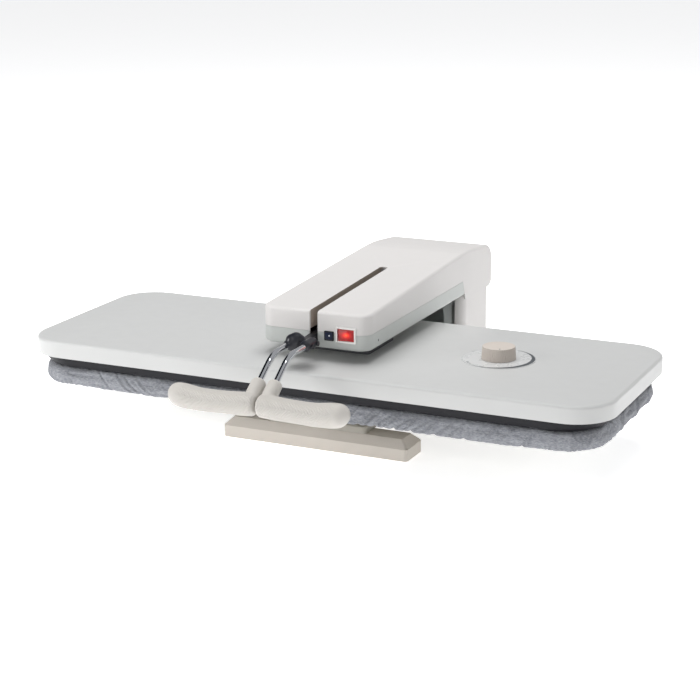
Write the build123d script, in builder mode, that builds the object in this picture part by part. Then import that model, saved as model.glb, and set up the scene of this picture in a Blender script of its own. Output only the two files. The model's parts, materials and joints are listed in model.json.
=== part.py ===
"""Tabletop ironing press: a heated plate on a lever arm closes on to a padded board.

X runs along the board, Y from the user to the column, Z up from the table.
Every depth is counted from the plate's centre, which stands at PLATE_Y.
"""
import math
import os

from build123d import *

os.makedirs("parts", exist_ok=True)

# ---------------------------------------------------------------- driving dimensions (mm)
PLATE_LENGTH = 810
PLATE_WIDTH = 302
PLATE_CORNER = 55
PLATE_TOP = 121
ARM_HALF = 76
ARM_FRONT = -88
ARM_REAR = 357
GRIP_FRONT = -261
PLATE_Y = -(ARM_REAR + GRIP_FRONT) / 2

COVER_BOTTOM = 99
RIM_BOTTOM = 86.6
SOLE_BOTTOM = 86.4
SOLE_TOP = 91
BOARD_BOTTOM = 60
BOARD_TOP = 86
TRAY_BOTTOM = 62
COVER_LENGTH = 786
COVER_WIDTH = 292
COVER_CORNER = 55
SLAB_BOTTOM = 27.5
SLAB_TOP = 37

ARM_BOTTOM = 137
ARM_EDGE = 4
SEAM = 158.5
WALL = 2.2
CHEEK_BOTTOM = 130
NOTCH_TOP = 240
NOTCH_BOTTOM = 250
PIVOT_Y = PLATE_Y + 341
PIVOT_Z = 146
REAR_LIP = PIVOT_Z + 2
PIN_R = 5
RUNNING_R = PIN_R + 0.05
BUSH_R = 7

LEVER_Y = PLATE_Y + 124
LEVER_Z = 166
LEVER_HALF = 4
SLOT_HALF = 5.7
SLOT_END = PLATE_Y + 138
FRAME_HALF = 46
SHEET = 3
SHELF_BOTTOM = 141
SHELF_TOP = SHELF_BOTTOM + SHEET

COLUMN_HALF = 73
COLUMN_FRONT = PLATE_Y + 252
COLUMN_REAR = PLATE_Y + 353
COLUMN_WALL = 2.5
POST_X = 26
POST_R = 4

DIAL_X = 215.5
DIAL_Y = PLATE_Y + 9.5
ROD_X = 11
ROD_R = 4
ROD_Z = 151
GRIP_Y = PLATE_Y - 245
GRIP_Z = 104.4


def depth(value):
    """A depth counted from the plate's centre, in the part's own frame."""
    return PLATE_Y + value


def save(piece, label):
    piece.label = label
    export_step(piece, f"parts/{label}.step")


def plate_outline(z, length, width, radius):
    """A rounded rectangle centred on the plate, at height z."""
    with BuildSketch(Plane.XY.offset(z)) as outline:
        with Locations((0, PLATE_Y)):
            RectangleRounded(length, width, radius)
    return outline.sketch


def plan_box(z, x_low, x_high, y_low, y_high, radius=0):
    """A rectangle seen from above, at height z, with optional corner radius."""
    with BuildSketch(Plane.XY.offset(z)) as outline:
        with Locations(((x_low + x_high) / 2, (y_low + y_high) / 2)):
            if radius:
                RectangleRounded(x_high - x_low, y_high - y_low, radius)
            else:
                Rectangle(x_high - x_low, y_high - y_low)
    return outline.sketch


def side_shape(x, points):
    """A polygon of (y, z) points in the plane at x, facing +X."""
    with BuildSketch(Plane.YZ.offset(x)) as outline:
        with BuildLine():
            Polyline(*points, close=True)
        make_face()
    return outline.sketch


def discs(plane, radius, places):
    """Equal circles on one plane."""
    with BuildSketch(plane) as outline:
        with Locations(*places):
            Circle(radius)
    return outline.sketch


def coil_spring(inner, outer, length, turns):
    """A close-wound spring standing on the origin: one bead per turn, joined at the bore."""
    pitch = length / turns
    bead = pitch / 2
    with BuildPart() as spring:
        with BuildSketch(Plane.XZ):
            with Locations(((inner + outer) / 2, length / 2)):
                Rectangle(outer - inner - bead, length)
            with Locations(*[(outer - bead, (k + 0.5) * pitch) for k in range(turns)]):
                Circle(bead * 1.02)
        revolve(axis=Axis.Z)
    return spring.part


# ---------------------------------------------------------------- base
FOOT_HALF = 132
FOOT_DEPTH = 50
FOOT_BOTTOM = 1.5
FOOT_CENTRES = {"front_foot": depth(-68), "rear_foot": depth(328)}
PAD_X = 110
PAD_R = 14
PAD_TOP = 5
BOLT_PLACES = [(x, depth(y)) for x in (-58, 58) for y in (312, 344)]

for foot_name, foot_y in FOOT_CENTRES.items():
    with BuildPart() as foot:
        extrude(plan_box(FOOT_BOTTOM, -FOOT_HALF, FOOT_HALF, foot_y - FOOT_DEPTH / 2,
                         foot_y + FOOT_DEPTH / 2), amount=SLAB_BOTTOM - FOOT_BOTTOM)
        chamfer(foot.faces().sort_by(Axis.Z)[-1].edges(), length=10.5)
        corners = foot.edges().filter_by(lambda edge: abs(edge.tangent_at(0.5).Z) > 0.3)
        fillet(corners, radius=5)
        extrude(discs(Plane.XY.offset(FOOT_BOTTOM), PAD_R + 0.3, [(-PAD_X, foot_y), (PAD_X, foot_y)]),
                amount=PAD_TOP - FOOT_BOTTOM + 0.2, mode=Mode.SUBTRACT)
        if foot_name == "rear_foot":
            extrude(discs(Plane.XY.offset(17), 2.6, BOLT_PLACES), amount=20, mode=Mode.SUBTRACT)
    save(foot.part, foot_name)

with BuildPart() as foot_pads:
    pad_places = [(x, y) for x in (-PAD_X, PAD_X) for y in FOOT_CENTRES.values()]
    extrude(discs(Plane.XY, PAD_R, pad_places), amount=PAD_TOP)
    chamfer(foot_pads.faces().filter_by(Plane.XY).group_by(Axis.Z)[0].edges(), length=0.8)
save(foot_pads.part, "foot_pads")

with BuildPart() as base_slab:
    extrude(plan_box(SLAB_BOTTOM, -70, 70, depth(-83), COLUMN_REAR, 6), amount=SLAB_TOP - SLAB_BOTTOM)
    fillet(base_slab.faces().sort_by(Axis.Z)[-1].edges(), radius=2)
    extrude(discs(Plane.XY.offset(SLAB_BOTTOM), 3.2, BOLT_PLACES), amount=20, mode=Mode.SUBTRACT)
save(base_slab.part, "base_slab")

TUBE_HALF = 280
TUBE_DEPTH = 30
TUBE_WALL = 2
TUBE_PLACES = (depth(-50), depth(50))
with BuildPart() as cross_tubes:
    for tube_y in TUBE_PLACES:
        with BuildSketch(Plane.YZ.offset(-TUBE_HALF)):
            with Locations((tube_y, (SLAB_TOP + TRAY_BOTTOM) / 2)):
                RectangleRounded(TUBE_DEPTH, TRAY_BOTTOM - SLAB_TOP, 3)
                RectangleRounded(TUBE_DEPTH - 2 * TUBE_WALL, TRAY_BOTTOM - SLAB_TOP - 2 * TUBE_WALL, 1.5,
                                 mode=Mode.SUBTRACT)
        extrude(amount=2 * TUBE_HALF)
save(cross_tubes.part, "cross_tubes")

with BuildPart() as tube_caps:
    for tube_y in TUBE_PLACES:
        for cap_x in (-TUBE_HALF - 2, TUBE_HALF):
            with BuildSketch(Plane.YZ.offset(cap_x)):
                with Locations((tube_y, (SLAB_TOP + TRAY_BOTTOM) / 2)):
                    RectangleRounded(TUBE_DEPTH, TRAY_BOTTOM - SLAB_TOP, 3)
            extrude(amount=2)
save(tube_caps.part, "tube_caps")

# ---------------------------------------------------------------- board
with BuildPart() as board_tray:
    extrude(plate_outline(TRAY_BOTTOM, COVER_LENGTH - 10, COVER_WIDTH - 10, COVER_CORNER - 6), amount=13)
    fillet(board_tray.faces().sort_by(Axis.Z)[0].edges(), radius=4)
    offset(amount=-1.2, openings=board_tray.faces().sort_by(Axis.Z)[-1])
save(board_tray.part, "board_tray")

FOAM_TOP = 84
with BuildPart() as board_foam:
    extrude(plate_outline(TRAY_BOTTOM + 1.5, COVER_LENGTH - 14, COVER_WIDTH - 14, COVER_CORNER - 8),
            amount=FOAM_TOP - TRAY_BOTTOM - 1.5)
    chamfer(board_foam.faces().sort_by(Axis.Z)[0].edges(), length=3)
    extrude(plate_outline(TRAY_BOTTOM + 13.3, COVER_LENGTH - 6, COVER_WIDTH - 6, COVER_CORNER - 4),
            amount=FOAM_TOP - TRAY_BOTTOM - 13.3)
    fillet(board_foam.faces().sort_by(Axis.Z)[-1].edges(), radius=6)
save(board_foam.part, "board_foam")



def cushion_block(inset):
    """The covered board's outer form, shrunk by inset: rounded over at the top and underneath."""
    with BuildPart() as block:
        extrude(plate_outline(BOARD_BOTTOM + inset, COVER_LENGTH - 2 * inset, COVER_WIDTH - 2 * inset,
                              COVER_CORNER - inset), amount=BOARD_TOP - BOARD_BOTTOM - 2 * inset)
        fillet(block.faces().sort_by(Axis.Z)[-1].edges(), radius=8 - inset)
        fillet(block.faces().sort_by(Axis.Z)[0].edges(), radius=5 - inset)
    return block.part


FABRIC = 1.7
HEM = 26
CUSHION_OUTSIDE = cushion_block(0)
CUSHION_INSIDE = cushion_block(FABRIC)
with BuildPart() as board_cover:
    add(CUSHION_OUTSIDE)
    add(CUSHION_INSIDE, mode=Mode.SUBTRACT)
    extrude(plate_outline(BOARD_BOTTOM - 1, COVER_LENGTH - 2 * HEM, COVER_WIDTH - 2 * HEM, COVER_CORNER - HEM),
            amount=6, mode=Mode.SUBTRACT)
save(board_cover.part, "board_cover")

# ---------------------------------------------------------------- column
with BuildPart() as column_frame:
    extrude(plan_box(SLAB_TOP, -66, 66, COLUMN_FRONT + 6, COLUMN_REAR - 5, 4), amount=SHEET)
    extrude(plan_box(SLAB_TOP, -50, 50, depth(263), depth(345)), amount=89)
    extrude(plan_box(SLAB_TOP + SHEET, -50 + SHEET, 50 - SHEET, depth(263) + SHEET, depth(345) - SHEET),
            amount=120, mode=Mode.SUBTRACT)
    for ear_x in (-50, 50 - SHEET):
        extrude(side_shape(ear_x, [(depth(276), 120), (depth(345), 120), (PIVOT_Y + 8.6, PIVOT_Z - 2),
                                   (PIVOT_Y - 4, PIVOT_Z + 8)]), amount=SHEET)
        extrude(discs(Plane.YZ.offset(ear_x), 9, [(PIVOT_Y, PIVOT_Z)]), amount=SHEET)
    extrude(discs(Plane.YZ.offset(-55), RUNNING_R, [(PIVOT_Y, PIVOT_Z)]), amount=110, mode=Mode.SUBTRACT)
    with BuildSketch(Plane.XZ.offset(-depth(260))):
        with Locations((0, 90)):
            RectangleRounded(76, 56, 18)
    extrude(amount=-12, mode=Mode.SUBTRACT)
    extrude(discs(Plane.XY.offset(SLAB_TOP), 3.2, BOLT_PLACES), amount=20, mode=Mode.SUBTRACT)
save(column_frame.part, "column_frame")

with BuildPart() as column_cover:
    extrude(plan_box(SLAB_TOP + 0.2, -COLUMN_HALF, COLUMN_HALF, COLUMN_FRONT, COLUMN_REAR, 12), amount=120)
    extrude(plan_box(SLAB_TOP, -COLUMN_HALF + COLUMN_WALL, COLUMN_HALF - COLUMN_WALL,
                     COLUMN_FRONT + COLUMN_WALL, COLUMN_REAR - COLUMN_WALL, 12 - COLUMN_WALL),
            amount=125, mode=Mode.SUBTRACT)
    extrude(plan_box(SLAB_TOP, -59, 59, COLUMN_FRONT - 5, COLUMN_FRONT + 8), amount=125, mode=Mode.SUBTRACT)
    extrude(side_shape(-80, [(COLUMN_FRONT - 5, 134), (COLUMN_FRONT + 17, 134), (COLUMN_FRONT + 36, 154),
                             (PIVOT_Y, 154), (PIVOT_Y + 8, 150.5), (COLUMN_REAR + 5, 150.5),
                             (COLUMN_REAR + 5, 175), (COLUMN_FRONT - 5, 175)]), amount=160,
            mode=Mode.SUBTRACT)
    extrude(discs(Plane.XZ.offset(-COLUMN_REAR - 2), 6.1, [(-38, 56)]), amount=10, mode=Mode.SUBTRACT)
save(column_cover.part, "column_cover")

with BuildPart() as column_bolts:
    extrude(discs(Plane.XY.offset(18), 2.5, BOLT_PLACES), amount=SLAB_TOP + SHEET - 18)
    with BuildSketch(Plane.XY.offset(SLAB_TOP + SHEET)):
        with Locations(*BOLT_PLACES):
            RegularPolygon(5.2, 6)
    extrude(amount=4)
save(column_bolts.part, "column_bolts")

GLAND_PLANE = Plane(origin=(-38, COLUMN_REAR - 6.5, 56), x_dir=(1, 0, 0), z_dir=(0, 1, 0))
with BuildPart() as cable_gland:
    with BuildSketch(GLAND_PLANE):
        RegularPolygon(8, 6)
    extrude(amount=4)
    with BuildSketch(GLAND_PLANE):
        Circle(6)
    extrude(amount=10)
    with BuildSketch(GLAND_PLANE.offset(6.5)):
        Circle(8.5)
    extrude(amount=4, taper=20)
    with BuildSketch(GLAND_PLANE):
        Circle(3.6)
    extrude(amount=12, mode=Mode.SUBTRACT)
save(cable_gland.part, "cable_gland")

with BuildPart() as pivot_pin:
    extrude(discs(Plane.YZ.offset(-55), PIN_R, [(PIVOT_Y, PIVOT_Z)]), amount=105)
    extrude(discs(Plane.YZ.offset(50.2), 8, [(PIVOT_Y, PIVOT_Z)]), amount=3)
    chamfer(pivot_pin.faces().sort_by(Axis.X)[0].edges(), length=0.8)
    extrude(discs(Plane.YZ.offset(49), PIN_R, [(PIVOT_Y, PIVOT_Z)]), amount=2)
save(pivot_pin.part, "pivot_pin")

with BuildPart() as pivot_clip:
    extrude(discs(Plane.YZ.offset(-51.6), 8, [(PIVOT_Y, PIVOT_Z)]), amount=1.2)
    extrude(discs(Plane.YZ.offset(-52), PIN_R, [(PIVOT_Y, PIVOT_Z)]), amount=3, mode=Mode.SUBTRACT)
save(pivot_clip.part, "pivot_clip")

LEG_R = 1.5
LEG_LENGTH = 44
COIL_LENGTH = 34
COUNTER_COIL = coil_spring(5.5, 8.6, COIL_LENGTH, 11)
with BuildPart() as counter_springs:
    for start, leg_x in ((-40, -38), (6, 6 + COIL_LENGTH - 2)):
        coil_plane = Plane(origin=(start, PIVOT_Y, PIVOT_Z), x_dir=(0, 0, 1), z_dir=(1, 0, 0))
        add(COUNTER_COIL.moved(coil_plane.location))
        with BuildSketch(Plane(origin=(leg_x, PIVOT_Y + 7.1, PIVOT_Z - LEG_LENGTH), z_dir=(0, 0, 1))):
            Circle(LEG_R)
        extrude(amount=LEG_LENGTH)
save(counter_springs.part, "counter_springs")


# ---------------------------------------------------------------- arm
def arm_block(inset, z_low):
    """The arm's outer form, shrunk by inset: sloping top, rounded corners, flat below."""
    front = depth(ARM_FRONT) + inset
    rear = depth(ARM_REAR) - inset
    with BuildPart() as block:
        with BuildSketch(Plane.YZ.offset(-ARM_HALF + inset)):
            with BuildLine():
                FilletPolyline((rear, z_low), (rear, 190 - inset), (depth(262), 199.5 - inset),
                               (front, 184.8 - inset), radius=(24 - inset, 380))
                Polyline((front, 184.8 - inset), (front, z_low), (rear, z_low))
            make_face()
        extrude(amount=2 * (ARM_HALF - inset))
        uprights = block.edges().filter_by(Axis.Z).sort_by(Axis.Y)[:2]
        fillet(uprights, radius=18 - inset)
        rim = block.faces().sort_by(Axis.X)
        chain = rim[0].edges() + rim[-1].edges()
        chain = chain.filter_by(lambda edge: edge.center().Z > z_low + 0.1)
        front_edges = block.edges().filter_by(
            lambda edge: edge.center().Y < front + 18 and edge.center().Z > 184.8 - inset - 1)
        chosen = ShapeList(set(chain) | set(front_edges))
        chosen = chosen.filter_by(lambda edge: abs(edge.tangent_at(0.5).Z) < 0.99 or edge.center().Y > 0)
        fillet(chosen, radius=ARM_EDGE - inset)
    return block.part


SWITCH_X, SWITCH_Z = 45.5, 157.5
BUTTON_X, BUTTON_Z = 21.9, 154.3
FRONT_PLANE = Plane(origin=(0, depth(ARM_FRONT), 0), x_dir=(1, 0, 0), z_dir=(0, -1, 0))


def front_opening(x, z, width, height):
    """A rectangle on the arm's front face."""
    with BuildSketch(FRONT_PLANE.offset(-10)) as opening:
        with Locations((x, z)):
            Rectangle(width, height)
    return opening.sketch


BOSS_PLACES = [(x, depth(y)) for x in (-64, 64) for y in (-48, 180)]
OUTER_BLOCK = arm_block(0, 120)
INNER_BLOCK = arm_block(WALL, 100)

with BuildPart() as arm_top_cover:
    add(OUTER_BLOCK)
    add(INNER_BLOCK, mode=Mode.SUBTRACT)
    for rib_x in (-SLOT_HALF - 2, SLOT_HALF):
        extrude(side_shape(rib_x, [(depth(-86), 161), (depth(95), 161), (depth(110), 175),
                                   (SLOT_END + 2, 175), (SLOT_END + 2, 193), (depth(-86), 182.8)]),
                amount=2)
    extrude(plan_box(175, -SLOT_HALF - 2, SLOT_HALF + 2, SLOT_END, SLOT_END + 2), amount=18)
    for boss_x, boss_y in BOSS_PLACES:
        boss_height = 27 if boss_y < PLATE_Y else 36
        extrude(discs(Plane.XY.offset(SEAM), 4.5, [(boss_x, boss_y)]), amount=boss_height)
    extrude(discs(Plane.XY.offset(SEAM), 1.3, BOSS_PLACES), amount=14, mode=Mode.SUBTRACT)
    extrude(plan_box(SHELF_BOTTOM, -SLOT_HALF, SLOT_HALF, depth(-95), SLOT_END, SLOT_HALF - 0.1), amount=80,
            mode=Mode.SUBTRACT)
    for opening_x, opening_z, width, height in ((SWITCH_X, SWITCH_Z, 25.5, 17.9),
                                                (BUTTON_X, BUTTON_Z, 12, 11.2)):
        extrude(front_opening(opening_x, opening_z, width, height), amount=20, mode=Mode.SUBTRACT)
    with BuildSketch(Plane.YZ.offset(-90)):
        with BuildLine():
            Polyline((PIVOT_Y, CHEEK_BOTTOM), (depth(NOTCH_BOTTOM), CHEEK_BOTTOM),
                     (depth(NOTCH_TOP), SEAM), (depth(-100), SEAM), (depth(-100), 90),
                     (depth(400), 90), (depth(400), PIVOT_Z), (depth(ARM_REAR), PIVOT_Z))
            ThreePointArc((depth(ARM_REAR), PIVOT_Z),
                          (PIVOT_Y + 16 * math.cos(math.pi / 4), PIVOT_Z - 16 * math.sin(math.pi / 4)),
                          (PIVOT_Y, CHEEK_BOTTOM))
        make_face()
    extrude(amount=180, mode=Mode.SUBTRACT)
    extrude(plan_box(100, -73.6, 73.6, PIVOT_Y + 3, depth(ARM_REAR) + 5), amount=REAR_LIP - 100,
            mode=Mode.SUBTRACT)
save(arm_top_cover.part, "arm_top_cover")

FLOOR_OPENING = (-37, 37, depth(-24), depth(24))
SIDE_SCREW = (depth(-55), 146.5)
with BuildPart() as arm_lower_cover:
    extrude(plan_box(ARM_BOTTOM, -ARM_HALF, ARM_HALF, depth(ARM_FRONT), depth(NOTCH_BOTTOM) + 10),
            amount=SEAM - ARM_BOTTOM - 0.3)
    fillet(arm_lower_cover.edges().filter_by(Axis.Z).sort_by(Axis.Y)[:2], radius=18)
    rear_edge = arm_lower_cover.faces().sort_by(Axis.Y)[-1].edges()
    floor_edges = arm_lower_cover.faces().sort_by(Axis.Z)[0].edges()
    fillet(floor_edges - rear_edge, radius=4)
    offset(amount=-WALL, openings=[arm_lower_cover.faces().sort_by(Axis.Z)[-1],
                                   arm_lower_cover.faces().sort_by(Axis.Y)[-1]])
    extrude(side_shape(-90, [(depth(NOTCH_TOP) - 0.5, SEAM + 1),
                             (depth(NOTCH_TOP) - 0.5 + 8, ARM_BOTTOM - 1),
                             (depth(300), ARM_BOTTOM - 1), (depth(300), SEAM + 1)]), amount=180,
            mode=Mode.SUBTRACT)
    extrude(discs(Plane.XY.offset(ARM_BOTTOM + 1), 4.5, BOSS_PLACES), amount=SEAM - ARM_BOTTOM - 1.3)
    extrude(discs(Plane.YZ.offset(-90), 1.8, [SIDE_SCREW]), amount=180, mode=Mode.SUBTRACT)
    extrude(discs(Plane.XY.offset(ARM_BOTTOM - 1), 1.8, BOSS_PLACES), amount=40, mode=Mode.SUBTRACT)
    extrude(discs(Plane.XY.offset(ARM_BOTTOM - 1), 3.4, BOSS_PLACES), amount=4, mode=Mode.SUBTRACT)
    extrude(plan_box(ARM_BOTTOM - 5, *FLOOR_OPENING, 4), amount=10, mode=Mode.SUBTRACT)
    extrude(plan_box(ARM_BOTTOM + 1.4, -SLOT_HALF, SLOT_HALF, depth(-95), depth(-80)), amount=40,
            mode=Mode.SUBTRACT)
    for opening_x, opening_z, width, height in ((SWITCH_X, SWITCH_Z, 25.5, 17.9),
                                                (BUTTON_X, BUTTON_Z, 12, 11.2)):
        extrude(front_opening(opening_x, opening_z, width, height), amount=20, mode=Mode.SUBTRACT)
save(arm_lower_cover.part, "arm_lower_cover")

with BuildPart() as cover_screws:
    extrude(discs(Plane.XY.offset(ARM_BOTTOM + 0.8), 3.1, BOSS_PLACES), amount=2.1)
    extrude(discs(Plane.XY.offset(ARM_BOTTOM + 2.5), 1.2, BOSS_PLACES), amount=SEAM - ARM_BOTTOM + 8)
    with BuildSketch(Plane.XY.offset(ARM_BOTTOM + 0.7)):
        with Locations(*BOSS_PLACES):
            Rectangle(3.2, 0.7)
            Rectangle(0.7, 3.2)
    extrude(amount=1, mode=Mode.SUBTRACT)
save(cover_screws.part, "cover_screws")

with BuildPart() as arm_frame:
    extrude(plan_box(SHELF_BOTTOM, -FRAME_HALF, FRAME_HALF, depth(-50), depth(243)), amount=SHEET)
    for plate_x in (-FRAME_HALF, FRAME_HALF - SHEET):
        extrude(side_shape(plate_x, [(depth(-50), SHELF_BOTTOM), (depth(243), SHELF_BOTTOM),
                                     (PIVOT_Y - 2, PIVOT_Z - 8.8), (PIVOT_Y + 3, PIVOT_Z + 8.5),
                                     (depth(240), 180), (depth(20), 176), (depth(-50), 160)]),
                amount=SHEET)
        extrude(discs(Plane.YZ.offset(plate_x), 9, [(PIVOT_Y, PIVOT_Z)]), amount=SHEET)
    extrude(discs(Plane.YZ.offset(-60), BUSH_R, [(PIVOT_Y, PIVOT_Z)]), amount=120, mode=Mode.SUBTRACT)
    extrude(discs(Plane.YZ.offset(-60), RUNNING_R, [(LEVER_Y, LEVER_Z)]), amount=120, mode=Mode.SUBTRACT)
    extrude(plan_box(SHELF_BOTTOM - 1, -16, 16, depth(-15), depth(15), 2), amount=10, mode=Mode.SUBTRACT)
    extrude(plan_box(SHELF_BOTTOM - 1, -8, 8, depth(-70), depth(0)), amount=10, mode=Mode.SUBTRACT)
    extrude(discs(Plane.XY.offset(SHELF_BOTTOM - 1), POST_R + 0.35, [(-POST_X, PLATE_Y), (POST_X, PLATE_Y)]),
            amount=10, mode=Mode.SUBTRACT)
save(arm_frame.part, "arm_frame")

with BuildPart() as pivot_bushes:
    for side in (-1, 1):
        extrude(discs(Plane.YZ.offset(side * (FRAME_HALF - SHEET)), BUSH_R, [(PIVOT_Y, PIVOT_Z)]),
                amount=side * SHEET)
        extrude(discs(Plane.YZ.offset(side * FRAME_HALF), 8.8, [(PIVOT_Y, PIVOT_Z)]), amount=side * 0.8)
    extrude(discs(Plane.YZ.offset(-60), RUNNING_R, [(PIVOT_Y, PIVOT_Z)]), amount=120, mode=Mode.SUBTRACT)
save(pivot_bushes.part, "pivot_bushes")

with BuildPart() as lever_pin:
    extrude(discs(Plane.YZ.offset(-49), PIN_R, [(LEVER_Y, LEVER_Z)]), amount=98)
    chamfer(lever_pin.edges().filter_by(GeomType.CIRCLE), length=0.8)
save(lever_pin.part, "lever_pin")

with BuildPart() as lever_spacers:
    for start in (-42.8, 5.4):
        extrude(discs(Plane.YZ.offset(start), 7.5, [(LEVER_Y, LEVER_Z)]), amount=37.4)
    extrude(discs(Plane.YZ.offset(-60), RUNNING_R, [(LEVER_Y, LEVER_Z)]), amount=120, mode=Mode.SUBTRACT)
save(lever_spacers.part, "lever_spacers")

LIFT_COIL = coil_spring(POST_R + 0.6, 7.2, 20.6, 7)
with BuildPart() as lift_springs:
    for post_x in (-POST_X, POST_X):
        add(LIFT_COIL.moved(Location((post_x, PLATE_Y, SHELF_TOP + 0.1))))
save(lift_springs.part, "lift_springs")

with BuildPart() as lever_bumper:
    extrude(plan_box(SHELF_TOP, -6, 6, depth(52), depth(68), 3), amount=5)
save(lever_bumper.part, "lever_bumper")

with BuildPart() as control_board:
    extrude(plan_box(147, 12, 41, depth(32), depth(104)), amount=1.6)
    for part_x, part_y, size_x, size_y, height in ((20, 48, 10, 14, 9), (33, 46, 8, 8, 12),
                                                   (26, 72, 20, 10, 6), (20, 92, 12, 12, 11),
                                                   (35, 90, 7, 16, 7)):
        extrude(plan_box(148.6, part_x - size_x / 2, part_x + size_x / 2, depth(part_y) - size_y / 2,
                         depth(part_y) + size_y / 2), amount=height)
    extrude(discs(Plane.XY.offset(SHELF_TOP), 2, [(15, depth(36)), (38, depth(36)), (15, depth(100)),
                                                  (38, depth(100))]), amount=3)
save(control_board.part, "control_board")

with BuildPart() as transformer:
    extrude(plan_box(SHELF_TOP, 10, 40, depth(150), depth(192), 1), amount=6)
    extrude(plan_box(SHELF_TOP + 6, 13, 37, depth(153), depth(189), 5), amount=14)
    extrude(plan_box(SHELF_TOP + 20, 10, 40, depth(150), depth(192), 1), amount=6)
save(transformer.part, "transformer")

BEZEL_W, BEZEL_H = 28, 20.8
ROCKER_PIVOT_Y = depth(ARM_FRONT) + 6
TRUNNION_R = 1.2
with BuildPart() as switch_bezel:
    with BuildSketch(FRONT_PLANE):
        with Locations((SWITCH_X, SWITCH_Z)):
            RectangleRounded(BEZEL_W, BEZEL_H, 1.5)
    extrude(amount=1.6, taper=12)
    with BuildSketch(FRONT_PLANE.offset(-23)):
        with Locations((SWITCH_X, SWITCH_Z)):
            Rectangle(25.2, 17.6)
    extrude(amount=23)
    with BuildSketch(FRONT_PLANE.offset(-14)):
        with Locations((SWITCH_X, SWITCH_Z)):
            Rectangle(23.6, 16)
    extrude(amount=20, mode=Mode.SUBTRACT)
    extrude(discs(Plane.XY.offset(SWITCH_Z - 8.5), TRUNNION_R + 0.05, [(SWITCH_X, ROCKER_PIVOT_Y)]),
            amount=17, mode=Mode.SUBTRACT)
    for lug_x in (-6, 0, 6):
        with BuildSketch(FRONT_PLANE.offset(-31)):
            with Locations((SWITCH_X + lug_x, SWITCH_Z)):
                Rectangle(0.8, 6)
        extrude(amount=8)
save(switch_bezel.part, "switch_bezel")

ROCKER_TILT = 7
ROCKER_HALF = 10.6
ROCKER_HEIGHT = 15.2
ROCKER_REACH = 7.8
with BuildPart() as rocker_cap:
    with BuildSketch(Plane.XY.offset(SWITCH_Z - ROCKER_HEIGHT / 2)):
        with BuildLine():
            Polyline((SWITCH_X - ROCKER_HALF, ROCKER_PIVOT_Y),
                     (SWITCH_X - ROCKER_HALF, ROCKER_PIVOT_Y - ROCKER_REACH),
                     (SWITCH_X, ROCKER_PIVOT_Y - ROCKER_REACH + 1.4),
                     (SWITCH_X + ROCKER_HALF, ROCKER_PIVOT_Y - ROCKER_REACH),
                     (SWITCH_X + ROCKER_HALF, ROCKER_PIVOT_Y), (SWITCH_X, ROCKER_PIVOT_Y + 4), close=True)
        make_face()
    extrude(amount=ROCKER_HEIGHT)
    fillet(rocker_cap.edges().filter_by(Axis.Z).group_by(Axis.Y)[0], radius=0.8)
    extrude(discs(Plane.XY.offset(SWITCH_Z - 8.4), TRUNNION_R, [(SWITCH_X, ROCKER_PIVOT_Y)]), amount=16.8)
tilted_rocker = rocker_cap.part.rotate(Axis((SWITCH_X, ROCKER_PIVOT_Y, 0), (0, 0, 1)), ROCKER_TILT)
save(tilted_rocker, "rocker_cap")

with BuildPart() as button_housing:
    with BuildSketch(FRONT_PLANE):
        with Locations((BUTTON_X, BUTTON_Z)):
            RectangleRounded(13.4, 12.6, 1)
    extrude(amount=0.9)
    with BuildSketch(FRONT_PLANE.offset(-16)):
        with Locations((BUTTON_X, BUTTON_Z)):
            Rectangle(11.6, 10.8)
    extrude(amount=16)
    with BuildSketch(FRONT_PLANE.offset(-8)):
        with Locations((BUTTON_X, BUTTON_Z)):
            RectangleRounded(10.2, 9.4, 0.8)
    extrude(amount=12, mode=Mode.SUBTRACT)
save(button_housing.part, "button_housing")

with BuildPart() as button_cap:
    with BuildSketch(FRONT_PLANE.offset(-5)):
        with Locations((BUTTON_X, BUTTON_Z)):
            RectangleRounded(9.6, 8.8, 0.6)
    extrude(amount=6.8)
    fillet(button_cap.faces().sort_by(Axis.Y)[0].edges(), radius=0.4)
    with BuildSketch(FRONT_PLANE.offset(1)):
        with Locations((BUTTON_X + 0.8, BUTTON_Z + 0.6)):
            Circle(1.05)
    extrude(amount=3, mode=Mode.SUBTRACT)
save(button_cap.part, "button_cap")

with BuildPart() as button_light:
    with BuildSketch(FRONT_PLANE.offset(1)):
        with Locations((BUTTON_X + 0.8, BUTTON_Z + 0.6)):
            Circle(1)
    extrude(amount=0.9)
save(button_light.part, "button_light")

with BuildPart() as side_screws:
    for side in (-1, 1):
        extrude(discs(Plane.YZ.offset(side * (ARM_HALF - WALL - 2)), 1.7, [SIDE_SCREW]),
                amount=side * (WALL + 1.7))
save(side_screws.part, "side_screws")

# ---------------------------------------------------------------- lever handle
YOKE_REAR = depth(-108)
YOKE_FRONT = depth(-140)
with BuildPart() as lever_blade:
    extrude(side_shape(-LEVER_HALF, [(LEVER_Y, LEVER_Z + 13), (depth(-70), 157), (depth(-128), 154),
                                     (depth(-128), 141.5), (LEVER_Y, LEVER_Z - 13)]), amount=2 * LEVER_HALF)
    extrude(discs(Plane.YZ.offset(-LEVER_HALF), 13, [(LEVER_Y, LEVER_Z)]), amount=2 * LEVER_HALF)
    extrude(discs(Plane.YZ.offset(-10), 7.5, [(LEVER_Y, LEVER_Z)]), amount=20, mode=Mode.SUBTRACT)
save(lever_blade.part, "lever_blade")

with BuildPart() as lever_bush:
    extrude(discs(Plane.YZ.offset(-5), 7.5, [(LEVER_Y, LEVER_Z)]), amount=10)
    extrude(discs(Plane.YZ.offset(-10), RUNNING_R, [(LEVER_Y, LEVER_Z)]), amount=20, mode=Mode.SUBTRACT)
save(lever_bush.part, "lever_bush")

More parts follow.
